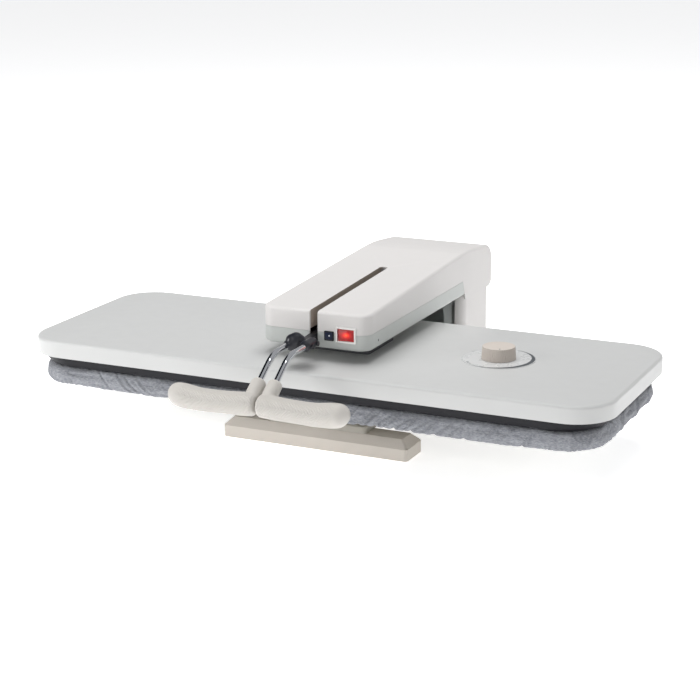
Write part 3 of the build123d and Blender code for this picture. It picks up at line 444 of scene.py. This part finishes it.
# ---------------------------------------------------------------- mesh helpers
def new_piece(name, points, faces, finish, body, smooth=True):
    """A mesh piece in the row frame that rides on a body."""
    mesh = bpy.data.meshes.new(name)
    mesh.from_pydata([tuple(point) for point in points], [], faces)
    mesh.validate()
    mesh.update()
    piece = bpy.data.objects.new(name, mesh)
    bpy.context.scene.collection.objects.link(piece)
    mesh.materials.append(finish)
    if smooth:
        mesh.polygons.foreach_set("use_smooth", [True] * len(mesh.polygons))
    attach(piece, body)
    return piece


def recalculate(piece):
    shape = bmesh.new()
    shape.from_mesh(piece.data)
    bmesh.ops.recalc_face_normals(shape, faces=shape.faces)
    shape.to_mesh(piece.data)
    shape.free()


def grid_faces(rows, columns, wrap=True, flip=False):
    """Quads of a rows x columns grid whose columns close on themselves."""
    faces = []
    last = columns if wrap else columns - 1
    for row in range(rows - 1):
        for column in range(last):
            following = (column + 1) % columns
            quad = (row * columns + column, row * columns + following,
                    (row + 1) * columns + following, (row + 1) * columns + column)
            faces.append(quad[::-1] if flip else quad)
    return faces


def apply_modifiers(piece):
    """Bakes the modifiers into the piece's own mesh."""
    graph = bpy.context.evaluated_depsgraph_get()
    baked = bpy.data.meshes.new_from_object(piece.evaluated_get(graph))
    piece.modifiers.clear()
    piece.data = baked


def smoothstep(low, high, value):
    share = np.clip((value - low) / (high - low), 0, 1)
    return share * share * (3 - 2 * share)


# ---------------------------------------------------------------- fabric cover of the board
def board_loop(half_x, half_y, radius, columns):
    """Points and outward normals evenly spaced round a rounded rectangle, from the front left corner."""
    straight_x = 2 * (half_x - radius)
    straight_y = 2 * (half_y - radius)
    quarter = math.pi * radius / 2
    total = 2 * straight_x + 2 * straight_y + 4 * quarter
    points, normals, along = [], [], []
    sides = [((-half_x + radius, -half_y), (1, 0), straight_x, (half_x - radius, -half_y + radius), -90),
             ((half_x, -half_y + radius), (0, 1), straight_y, (half_x - radius, half_y - radius), 0),
             ((half_x - radius, half_y), (-1, 0), straight_x, (-half_x + radius, half_y - radius), 90),
             ((-half_x, half_y - radius), (0, -1), straight_y, (-half_x + radius, -half_y + radius), 180)]
    for column in range(columns):
        distance = total * column / columns
        place = distance
        for start, way, length, centre, first_angle in sides:
            if place <= length:
                points.append((start[0] + way[0] * place, start[1] + way[1] * place))
                normals.append((way[1], -way[0]))
                break
            place -= length
            if place <= quarter:
                angle = math.radians(first_angle) + place / radius
                normals.append((math.cos(angle), math.sin(angle)))
                points.append((centre[0] + radius * math.cos(angle), centre[1] + radius * math.sin(angle)))
                break
            place -= quarter
        along.append(distance)
    return np.array(points), np.array(normals), np.array(along), total


FABRIC_COLUMNS = 1280
TOP_ROWS = 12
COVER_RADIUS = 55 * MM
TOP_FLAT = 40 * MM
SHOULDER = 8 * MM
UNDER = 5.5 * MM
HEM_INSET = 27 * MM
PAD_RADIUS = 50 * MM
COVER_INSET = 0.6 * MM
CLOTH_THICKNESS = 1.1 * MM
CLOTH_SHIFT = 1.5 * MM
HELD_BORDER = 14 * MM
CLOTH_FRAMES = 18


def cover_profile(top, bottom):
    """The cover's section from the flat top outwards: (inset, height, slackness) in order."""
    stations = [(TOP_FLAT - step * (TOP_FLAT - SHOULDER) / 5, top, 0.0) for step in range(1, 6)]
    for step in range(1, 6):
        turn = math.pi / 2 * step / 5
        stations.append((SHOULDER * (1 - math.sin(turn)), top - SHOULDER * (1 - math.cos(turn)), 0.12 * step))
    side_rows = 7
    side_top = top - SHOULDER
    side_low = bottom + UNDER
    for step in range(1, side_rows + 1):
        share = step / side_rows
        belly = 1.6 * MM * math.sin(math.pi * share)
        stations.append((-belly, side_top + (side_low - side_top) * share, 0.6 + 0.4 * share))
    for step in range(1, 5):
        turn = math.pi / 2 * step / 4
        stations.append((UNDER * (1 - math.cos(turn)), side_low - UNDER * math.sin(turn), 1.0))
    for step in range(1, 6):
        stations.append((UNDER + (HEM_INSET - UNDER) * step / 5, bottom + 0.25 * MM * step,
                         1.0 - 0.12 * step))
    return stations


# Creases of the cover: share of the edge's length, lean, width and depth; the last two in millimetres.
FRONT_CREASES = [(0.070, 0.9, 2.6, -1.6), (0.105, 1.1, 2.6, 3.2), (0.126, 1.1, 2.9, -3.0),
                 (0.147, 1.2, 3.6, 2.0), (0.215, -0.7, 5.2, 1.4), (0.272, 0.8, 4.4, 1.2),
                 (0.335, 0.9, 5.2, 1.1), (0.47, 0.8, 5.7, 1.1), (0.585, -0.8, 4.7, 1.5),
                 (0.635, -1.0, 3.6, 2.2), (0.662, -1.0, 3.1, -2.4), (0.684, -1.1, 3.0, 3.0),
                 (0.704, -1.2, 2.9, -3.0), (0.722, -1.1, 2.9, 3.2), (0.741, -1.2, 2.6, -3.1),
                 (0.758, -1.0, 2.7, 3.2), (0.778, -1.3, 2.9, -3.0), (0.797, -1.1, 3.1, 3.0),
                 (0.820, -1.2, 3.4, -2.4), (0.846, -1.0, 3.1, 2.4), (0.875, -1.1, 3.4, -2.0),
                 (0.905, -0.9, 3.4, 2.2), (0.94, -1.1, 3.6, 1.8), (0.975, -0.8, 3.1, -1.9)]
RIGHT_CREASES = [(0.02, 0.35, 2.6, 2.7), (0.055, 0.4, 2.3, -3.8), (0.085, 0.45, 2.6, 3.5),
                 (0.13, 0.6, 3.4, -1.9), (0.17, 0.6, 3.9, 1.9), (0.24, 0.7, 4.7, 1.4),
                 (0.38, -0.5, 5.7, 1.4), (0.55, 0.5, 5.7, 1.2), (0.72, -0.6, 4.9, 1.6),
                 (0.90, 0.5, 3.4, 2.0)]


def crease_height(creases, start, length, along, drop):
    """Height of leaning creases on a stretch of the edge; drop is the distance below the top."""
    height = np.zeros_like(along)
    for share, lean, width, deep in creases:
        centre = start + share * length + lean * drop
        height += deep * MM * np.exp(-((along - centre) / (width * MM)) ** 2)
    return height


def slack(along, total, half_x, half_y, radius, drop, looseness):
    """How far the cloth stands off its resting shape, outwards."""
    straight_x = 2 * (half_x - radius)
    straight_y = 2 * (half_y - radius)
    quarter = math.pi * radius / 2
    corners = [straight_x, straight_x + quarter + straight_y,
               2 * straight_x + 2 * quarter + straight_y, 2 * straight_x + 3 * quarter + 2 * straight_y]
    gather = np.full_like(along, 0.08)
    for place in corners:
        centre = place + quarter / 2
        away = np.abs((along - centre + total / 2) % total - total / 2)
        gather = np.maximum(gather, 1 - smoothstep(quarter * 0.42, quarter * 0.75, away))
    ripple = np.array([noise.noise(Vector((value * 55, 3.1, 0))) for value in along])
    pleats = np.sin(along / (9.5 * MM) * 2 * math.pi + 5 * ripple)
    height = gather * 1.3 * MM * pleats * smoothstep(0.62, 1.0, looseness)
    broad = np.array([noise.noise(Vector((value * 18, 7.7, drop * 45))) for value in along])
    height = height + looseness * 0.8 * MM * broad
    fine = np.array([noise.noise(Vector((value * 70, 1.3, drop * 90))) for value in along])
    height = height + looseness * 0.3 * MM * fine
    fade = math.sin(min(1.0, looseness) * math.pi / 2) ** 2
    height = height + fade * crease_height(FRONT_CREASES, 0, straight_x, along, drop)
    height = height + fade * crease_height(RIGHT_CREASES, straight_x + quarter, straight_y, along, drop)
    back = straight_x + 2 * quarter + straight_y
    height = height + fade * crease_height(FRONT_CREASES[::-1], back, straight_x, along, drop)
    left = 2 * straight_x + 3 * quarter + straight_y
    return height + fade * crease_height(RIGHT_CREASES[::-1], left, straight_y, along, drop)


def simulate_cloth(piece, pinned, cap):
    """Lets the cloth buckle and settle, holding each point within cap of where it started."""
    rest = np.array([vertex.co for vertex in piece.data.vertices])
    holding = piece.vertex_groups.new(name="held")
    for index, weight in enumerate(pinned):
        if weight > 0:
            holding.add([index], float(weight), "REPLACE")
    cloth = piece.modifiers.new("cloth", "CLOTH")
    cloth.settings.quality = 5
    cloth.settings.mass = 0.2
    cloth.settings.tension_stiffness = 18
    cloth.settings.compression_stiffness = 18
    cloth.settings.shear_stiffness = 6
    cloth.settings.bending_stiffness = 0.35
    cloth.settings.tension_damping = 8
    cloth.settings.vertex_group_mass = "held"
    cloth.settings.pin_stiffness = 1.0
    cloth.settings.shrink_min = -0.035
    cloth.settings.use_pressure = True
    cloth.settings.uniform_pressure_force = 0.6
    cloth.settings.effector_weights.gravity = 0
    cloth.collision_settings.use_collision = False
    scene = bpy.context.scene
    for step in range(1, CLOTH_FRAMES + 1):
        scene.frame_set(step)
    graph = bpy.context.evaluated_depsgraph_get()
    settled = np.array([vertex.co for vertex in piece.evaluated_get(graph).data.vertices])
    piece.modifiers.clear()
    piece.vertex_groups.clear()
    scene.frame_set(1)
    shift = settled - rest
    size = np.linalg.norm(shift, axis=1, keepdims=True)
    shift *= np.minimum(1, cap / np.maximum(size, 1e-9))
    piece.data.vertices.foreach_set("co", (rest + shift).astype(np.float32).ravel())
    piece.data.update()


def cover_points(low, high, inset):
    """The cover's grid: rings from the middle line outwards, over the edge and under the board."""
    half_x, half_y = (high.x - low.x) / 2 - inset, (high.y - low.y) / 2 - inset
    centre = Vector(((low.x + high.x) / 2, (low.y + high.y) / 2))
    loop, normals, along, total = board_loop(half_x, half_y, COVER_RADIUS - inset, FABRIC_COLUMNS)
    spine = np.stack([np.clip(loop[:, 0], -(half_x - half_y), half_x - half_y), np.zeros(len(loop))], 1)
    flat_edge = loop - normals * TOP_FLAT
    top, bottom = high.z - inset, low.z + inset
    rings = []
    for row in range(1, TOP_ROWS + 1):
        share = row / TOP_ROWS
        ring = spine + (flat_edge - spine) * share
        rings.append(np.column_stack([ring, np.full(len(ring), top)]))
    for reach, height, looseness in cover_profile(top, bottom):
        drop = top - height
        out = slack(along, total, half_x, half_y, COVER_RADIUS - inset, drop, looseness)
        ring = loop + normals * (out - reach)[:, None]
        lift = np.full(len(ring), height)
        if height < bottom + UNDER:
            lift = lift + np.abs(out) * 0.5
        rings.append(np.column_stack([ring, lift]))
    points = np.concatenate(rings)
    points[:, 0] += centre.x
    points[:, 1] += centre.y
    return points, len(rings)


def make_cover(finishes):
    """The padded board's cloth cover, simulated, with its elastic hem."""
    low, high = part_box("board_cover")
    points, rows = cover_points(low, high, COVER_INSET)
    faces = grid_faces(rows, FABRIC_COLUMNS)
    cover = new_piece("cover_cloth", points, faces, finishes["cover_fabric"], "base")
    height = np.array([vertex.co.z for vertex in cover.data.vertices])
    place = np.array([vertex.co for vertex in cover.data.vertices])
    inside = np.maximum(np.abs(place[:, 0]) - (high.x - HELD_BORDER),
                        np.abs(place[:, 1] - (low.y + high.y) / 2) - ((high.y - low.y) / 2 - HELD_BORDER))
    pinned = ((height > high.z - 2.4 * MM) & (inside < 0)) | ((height < low.z + 3 * MM) & (inside < 0))
    simulate_cloth(cover, pinned.astype(float), CLOTH_SHIFT)
    close_middle(cover)
    flatten_under_plate(cover, high.z)
    skin = cover.modifiers.new("thickness", "SOLIDIFY")
    skin.thickness = CLOTH_THICKNESS
    skin.offset = -1
    apply_modifiers(cover)
    smooth_faces(cover)
    hem = make_hem(finishes, low, high)
    padding = make_padding(finishes)
    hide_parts("board_cover")


def smooth_faces(piece):
    piece.data.polygons.foreach_set("use_smooth", [True] * len(piece.data.polygons))


def close_middle(piece):
    """Fills the flat strip inside the innermost ring."""
    shape = bmesh.new()
    shape.from_mesh(piece.data)
    shape.verts.ensure_lookup_table()
    shape.faces.new(shape.verts[:FABRIC_COLUMNS])
    bmesh.ops.recalc_face_normals(shape, faces=shape.faces)
    shape.to_mesh(piece.data)
    shape.free()


def flatten_under_plate(piece, top):
    """The closed plate presses the cloth flat: nothing stands above the board's top."""
    for vertex in piece.data.vertices:
        vertex.co.z = min(vertex.co.z, top)


def make_hem(finishes, low, high):
    """The gathered elastic edge under the board, as a soft bead."""
    half_x = (high.x - low.x) / 2 - HEM_INSET
    half_y = (high.y - low.y) / 2 - HEM_INSET
    loop, normals, along = board_loop(half_x, half_y, COVER_RADIUS - HEM_INSET, FABRIC_COLUMNS)[:3]
    middle_y = (high.y + low.y) / 2
    sides = 8
    points = []
    for side in range(sides):
        turn = 2 * math.pi * side / sides
        bead = 1.5 * MM + 0.35 * MM * np.sin(along / (6 * MM) * 2 * math.pi)
        ring = loop + normals * (bead * math.cos(turn))[:, None]
        lift = low.z + 1.3 * MM + bead * math.sin(turn)
        points.append(np.column_stack([ring[:, 0], ring[:, 1] + middle_y, lift]))
    points = np.concatenate(points)
    points[:, 2] = np.maximum(points[:, 2], low.z - 0.4 * MM)
    faces = grid_faces(sides, FABRIC_COLUMNS)
    faces += [(side, (side + 1) % FABRIC_COLUMNS, (sides - 1) * FABRIC_COLUMNS + (side + 1) % FABRIC_COLUMNS,
               (sides - 1) * FABRIC_COLUMNS + side)[::-1] for side in range(FABRIC_COLUMNS)]
    hem = new_piece("cover_hem", points, faces, finishes["cover_fabric"], "base")
    recalculate(hem)
    return hem


# Section of the pad from its top inwards to its underside: inset and drop, in millimetres.
PAD_SECTION = [(40, 0), (24, 0), (10, 0), (5, 0.6), (2, 2.2), (0.4, 5), (0.2, 8), (1.0, 11), (4.6, 13),
               (4.8, 18), (7, 20.3), (12, 20.5), (40, 20.5)]


def make_padding(finishes):
    """The foam pad under the cloth: a crowned closed form with softened edges."""
    low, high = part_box("board_foam")
    columns = 320
    half_x, half_y = (high.x - low.x) / 2 - 0.3 * MM, (high.y - low.y) / 2 - 0.3 * MM
    loop, normals = board_loop(half_x, half_y, PAD_RADIUS, columns)[:2]
    spine = np.stack([np.clip(loop[:, 0], -(half_x - half_y), half_x - half_y), np.zeros(len(loop))], 1)
    middle_y = (high.y + low.y) / 2
    rings = []
    for reach, drop in PAD_SECTION:
        ring = loop - normals * (reach * MM)
        height = np.full(columns, max(low.z, high.z - drop * MM))
        rings.append(np.column_stack([ring[:, 0], ring[:, 1] + middle_y, height]))
    for level in (high.z, low.z):
        spread_rings = []
        for share in (0.1, 0.4, 0.7):
            ring = spine + (loop - normals * TOP_FLAT - spine) * share
            spread_rings.append(np.column_stack([ring[:, 0], ring[:, 1] + middle_y, np.full(columns, level)]))
        rings = spread_rings + rings if level == high.z else rings + spread_rings[::-1]
    points = np.concatenate(rings)
    faces = grid_faces(len(rings), columns)
    faces.append(tuple(range(columns))[::-1])
    faces.append(tuple(range((len(rings) - 1) * columns, len(rings) * columns)))
    padding = new_piece("foam_padding", points, faces, finishes["foam_white"], "base")
    recalculate(padding)
    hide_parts("board_foam")
    return padding


# ---------------------------------------------------------------- moulded grips
GRIP_RIDGE = 3.9 * MM
GRIP_RELIEF = 0.75 * MM
GRIP_SLOPE = math.radians(35)
POST_RADIUS = 9.4 * MM
GRIP_AROUND = 176
GRIP_ALONG = 230


def grip_profile(share):
    """Radius and rise of a grip at a share of its length, from the middle outwards, in metres."""
    stations = [(0.0, 13.6, 0.0), (0.12, 14.8, -0.2), (0.36, 14.1, -1.5), (0.62, 14.4, -2.3),
                (0.85, 15.8, 0.2), (1.0, 15.2, 1.8)]
    shares = [station[0] for station in stations]
    radius = np.interp(share, shares, [station[1] for station in stations])
    rise = np.interp(share, shares, [station[2] for station in stations])
    return radius * MM, rise * MM


def make_grip(node, finishes, side):
    """A bent hand grip with herringbone ridges and the socket that takes its rod."""
    low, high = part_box(node)
    inner = min(abs(low.x), abs(high.x))
    outer = max(abs(low.x), abs(high.x))
    length = outer - inner
    middle_y = low.y + 16 * MM
    middle_z = low.z + 16.2 * MM
    shares = np.linspace(0, 1, GRIP_ALONG)
    kernel = np.hanning(41)
    radius, rise = grip_profile(shares)
    radius = np.convolve(np.pad(radius, 20, "edge"), kernel / kernel.sum(), "valid")
    rise = np.convolve(np.pad(rise, 20, "edge"), kernel / kernel.sum(), "valid")
    points = []
    for share, girth, lift in zip(shares, radius, rise):
        along = share * length
        inner_round = 5 * MM
        outer_round = 15 * MM
        scale = 1.0
        if along < inner_round:
            scale = 0.62 + 0.38 * math.sqrt(max(0.0, 1 - (1 - along / inner_round) ** 2))
        if length - along < outer_round:
            scale = math.sqrt(max(0.0004, 1 - (1 - (length - along) / outer_round) ** 2))
        for step in range(GRIP_AROUND):
            turn = 2 * math.pi * step / GRIP_AROUND
            arc = (turn * girth) % (2 * math.pi * girth)
            band = (2 * math.pi * girth) / 4
            fold = abs(((arc / band + 0.30) % 1.0) - 0.5) * band
            wave = ((side * along + 1.0 * fold) / GRIP_RIDGE) % 1.0
            ridge = GRIP_RELIEF * (1 - (2 * abs(wave - 0.5)) ** 2)
            fade = min(1.0, along / (4 * MM)) * float(1 - smoothstep(0.80, 0.90, share))
            reach = (girth - GRIP_RELIEF + ridge * fade) * scale
            points.append((side * (inner + along), middle_y - reach * math.cos(turn),
                           middle_z + lift + reach * math.sin(turn)))
    faces = grid_faces(GRIP_ALONG, GRIP_AROUND)
    faces.append(tuple(range(GRIP_AROUND))[::-1])
    faces.append(tuple(range((GRIP_ALONG - 1) * GRIP_AROUND, GRIP_ALONG * GRIP_AROUND)))
    grip = new_piece(node + "_moulded", points, faces, finishes["grip_white"], "handle")
    recalculate(grip)
    socket = socket_mesh(node, side, high)
    join_solid(grip, socket)
    smooth_faces(grip)
    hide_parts(node)
    return grip


def socket_mesh(node, side, high):
    """The round-nosed socket that climbs from the grip to its rod."""
    rod_low, rod_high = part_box("rod_left" if side < 0 else "rod_right")
    rod_x = (rod_low.x + rod_high.x) / 2
    forward = Vector((0, -math.cos(GRIP_SLOPE), -math.sin(GRIP_SLOPE)))
    across = Vector((1, 0, 0))
    upward = forward.cross(across) * -1
    nose = Vector((rod_x, high.y - POST_RADIUS * math.sin(GRIP_SLOPE), 0))
    start_z = high.z - POST_RADIUS * math.cos(GRIP_SLOPE)
    nose.z = start_z
    profile = [(0.0, 5.6), (0.3, 6.8), (1.0, 7.9), (2.2, 8.8), (4.0, 9.4), (12, 9.6), (22, 9.8), (34, 10.2)]
    sides = 56
    points = []
    for along, radius in profile:
        centre = nose + forward * (along * MM)
        for step in range(sides):
            turn = 2 * math.pi * step / sides
            points.append(centre + (across * math.cos(turn) + upward * math.sin(turn)) * (radius * MM))
    faces = grid_faces(len(profile), sides)
    faces.append(tuple(range(sides))[::-1])
    faces.append(tuple(range((len(profile) - 1) * sides, len(profile) * sides)))
    mesh = bpy.data.meshes.new(node + "_socket")
    mesh.from_pydata([tuple(point) for point in points], [], faces)
    socket = bpy.data.objects.new(node + "_socket", mesh)
    bpy.context.scene.collection.objects.link(socket)
    recalculate(socket)
    return socket


def join_solid(piece, extra):
    """Unites two closed solids into one and removes the second."""
    union = piece.modifiers.new("union", "BOOLEAN")
    union.operation = "UNION"
    union.solver = "EXACT"
    union.object = extra
    apply_modifiers(piece)
    bpy.data.objects.remove(extra)


# ---------------------------------------------------------------- yoke of the handle
ROD_RADIUS = 4 * MM
SOCKET_RADIUS = 7.2 * MM
YOKE_VOXEL = 0.7 * MM


def make_yoke(finishes):
    """The black clevis: two round sockets under a rounded lobe, all edges soft."""
    low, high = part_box("handle_yoke")
    rod_low, rod_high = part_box("rod_right")
    rod_x = (rod_low.x + rod_high.x) / 2
    rod_z = rod_high.z - ROD_RADIUS
    girth = SOCKET_RADIUS
    back, front = high.y - girth, low.y + girth - 1.5 * MM
    parts = [capsule(Vector((side * rod_x, back, rod_z)), Vector((side * rod_x, front, rod_z)), girth)
             for side in (-1, 1)]
    lobe_top = high.z - 8.2 * MM
    parts.append(capsule(Vector((-rod_x * 0.72, low.y + 9 * MM, rod_z)),
                         Vector((-rod_x * 0.42, low.y + 11 * MM, lobe_top)), 9.4 * MM))
    parts.append(capsule(Vector((-rod_x * 0.85, low.y + 9 * MM, lobe_top - 1 * MM)),
                         Vector((-rod_x * 0.05, low.y + 13 * MM, lobe_top - 2 * MM)), 8.2 * MM))
    parts.append(capsule(Vector((-rod_x * 0.5, back - 2 * MM, rod_z)),
                         Vector((-rod_x * 0.45, low.y + 12 * MM, lobe_top - 1 * MM)), 8.8 * MM))
    parts.append(capsule(Vector((-rod_x, low.y + 14 * MM, rod_z - 1 * MM)),
                         Vector((rod_x, low.y + 14 * MM, rod_z - 1 * MM)), 6.4 * MM))
    yoke = parts[0]
    for extra in parts[1:]:
        join_solid(yoke, extra)
    remesh = yoke.modifiers.new("remesh", "REMESH")
    remesh.mode = "VOXEL"
    remesh.voxel_size = YOKE_VOXEL
    smooth = yoke.modifiers.new("smooth", "SMOOTH")
    smooth.factor = 0.6
    smooth.iterations = 7
    apply_modifiers(yoke)
    yoke.name = "yoke_moulded"
    yoke.data.materials.clear()
    yoke.data.materials.append(finishes["plastic_black"])
    smooth_faces(yoke)
    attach(yoke, "handle")
    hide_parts("handle_yoke")


def capsule(start, end, radius):
    """A round-ended bar between two points."""
    way = (end - start).normalized()
    across = way.orthogonal().normalized()
    other = way.cross(across)
    sides, caps = 40, 9
    rings = []
    for step in range(1, caps + 1):
        turn = math.pi / 2 * step / caps
        rings.append((start - way * radius * math.cos(turn), radius * math.sin(turn)))
    for step in range(caps, 0, -1):
        turn = math.pi / 2 * step / caps
        rings.append((end + way * radius * math.cos(turn), radius * math.sin(turn)))
    points = []
    for centre, girth in rings:
        for step in range(sides):
            turn = 2 * math.pi * step / sides
            points.append(centre + (across * math.cos(turn) + other * math.sin(turn)) * girth)
    faces = grid_faces(len(rings), sides)
    faces.append(tuple(range(sides))[::-1])
    faces.append(tuple(range((len(rings) - 1) * sides, len(rings) * sides)))
    mesh = bpy.data.meshes.new("capsule")
    mesh.from_pydata([tuple(point) for point in points], [], faces)
    bar = bpy.data.objects.new("capsule", mesh)
    bpy.context.scene.collection.objects.link(bar)
    recalculate(bar)
    return bar


# ---------------------------------------------------------------- printed dial and knob mark
PRINT_THICKNESS = 0.07 * MM


def printed_band(name, centre, height, first, last, inner, outer, finish, body):
    """A raised ink band between two angles; inner and outer give its radii at a share of the way."""
    steps = max(8, int(abs(last - first) / 1.5))
    points = []
    for step in range(steps + 1):
        share = step / steps
        turn = math.radians(first + (last - first) * share)
        for radius, lift in ((inner(share), 0), (outer(share), 0), (outer(share), PRINT_THICKNESS),
                             (inner(share), PRINT_THICKNESS)):
            points.append((centre.x + radius * math.cos(turn), centre.y + radius * math.sin(turn),
                           height + lift))
    faces = []
    for step in range(steps):
        base = step * 4
        for corner in range(4):
            following = (corner + 1) % 4
            faces.append((base + corner, base + following, base + 4 + following, base + 4 + corner))
    faces.append((0, 3, 2, 1))
    faces.append((steps * 4, steps * 4 + 1, steps * 4 + 2, steps * 4 + 3))
    band = new_piece(name, points, faces, finish, body, smooth=False)
    recalculate(band)
    return band


def make_dial():
    """The thermostat's printed scale: a fine outline, a heat wedge that tapers off, and small ticks."""
    low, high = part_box("dial_plate")
    centre = (low + high) / 2
    height = high.z
    rim = (high.x - low.x) / 2
    slate = plastic("ink_slate", (0.085, 0.092, 0.10), 0.08, 0.4, 900, 0.0)
    pale = plastic("ink_grey", (0.36, 0.37, 0.375), 0.05, 0.4, 900, 0.0)
    outline = rim - 1.0 * MM
    printed_band("dial_outline", centre, height, 0, 359.9, lambda share: outline - 0.35 * MM,
                 lambda share: outline, pale, "plate")
    start, end = 78, -118
    printed_band("dial_wedge", centre, height, start, end,
                 lambda share: outline - 0.7 * MM - 5.6 * MM * math.sin(math.pi * share) ** 1.2,
                 lambda share: outline - 0.5 * MM, slate, "plate")
    for number, angle in enumerate((-124, -129, -134)):
        printed_band(f"dial_tick_{number + 1}", centre, height, angle, angle - 1.6,
                     lambda share: outline - 4.2 * MM, lambda share: outline - 1.0 * MM, slate, "plate")
    for number, angle in enumerate(range(-160, -291, -26)):
        printed_band(f"dial_step_{number + 1}", centre, height, angle, angle - 1.2,
                     lambda share: outline - 9.0 * MM, lambda share: outline - 5.5 * MM, pale, "plate")
    knob_low, knob_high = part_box("thermostat_knob")
    knob_radius = (knob_high.x - knob_low.x) / 2
    middle = (knob_low + knob_high) / 2
    dark = plastic("ink_dark", (0.06, 0.055, 0.05), 0.1, 0.5, 900, 0.0)
    printed_band("knob_mark", middle, knob_high.z, -69, -63, lambda share: knob_radius - 8.0 * MM,
                 lambda share: knob_radius - 5.2 * MM, dark, "knob")


# ---------------------------------------------------------------- whole scene
def build():
    bpy.context.scene.view_settings.view_transform = "Standard"
    place_camera()
    lay_floor()
    light_world()
    key = soft_light("key", (-0.2, 0.35, 3.0), (0, 0, 0.1), (2.4, 2.0), 74)
    key.visible_glossy = False
    soft_light("strip", (0.85, 0.1, 3.0), (0, 0, 0.1), (0.2, 1.4), 5)
    soft_light("left_front", (-1.5, -1.5, 0.75), (-0.3, 0, 0.1), (0.7, 0.5), 16)
    soft_light("right_side", (3.2, -0.4, 0.8), (0.3, 0, 0.08), (0.8, 0.6), 3)
    finishes = make_materials()
    dress_nodes(finishes)
    make_cover(finishes)
    make_grip("grip_left", finishes, -1)
    make_grip("grip_right", finishes, 1)
    make_yoke(finishes)
    make_dial()


build()
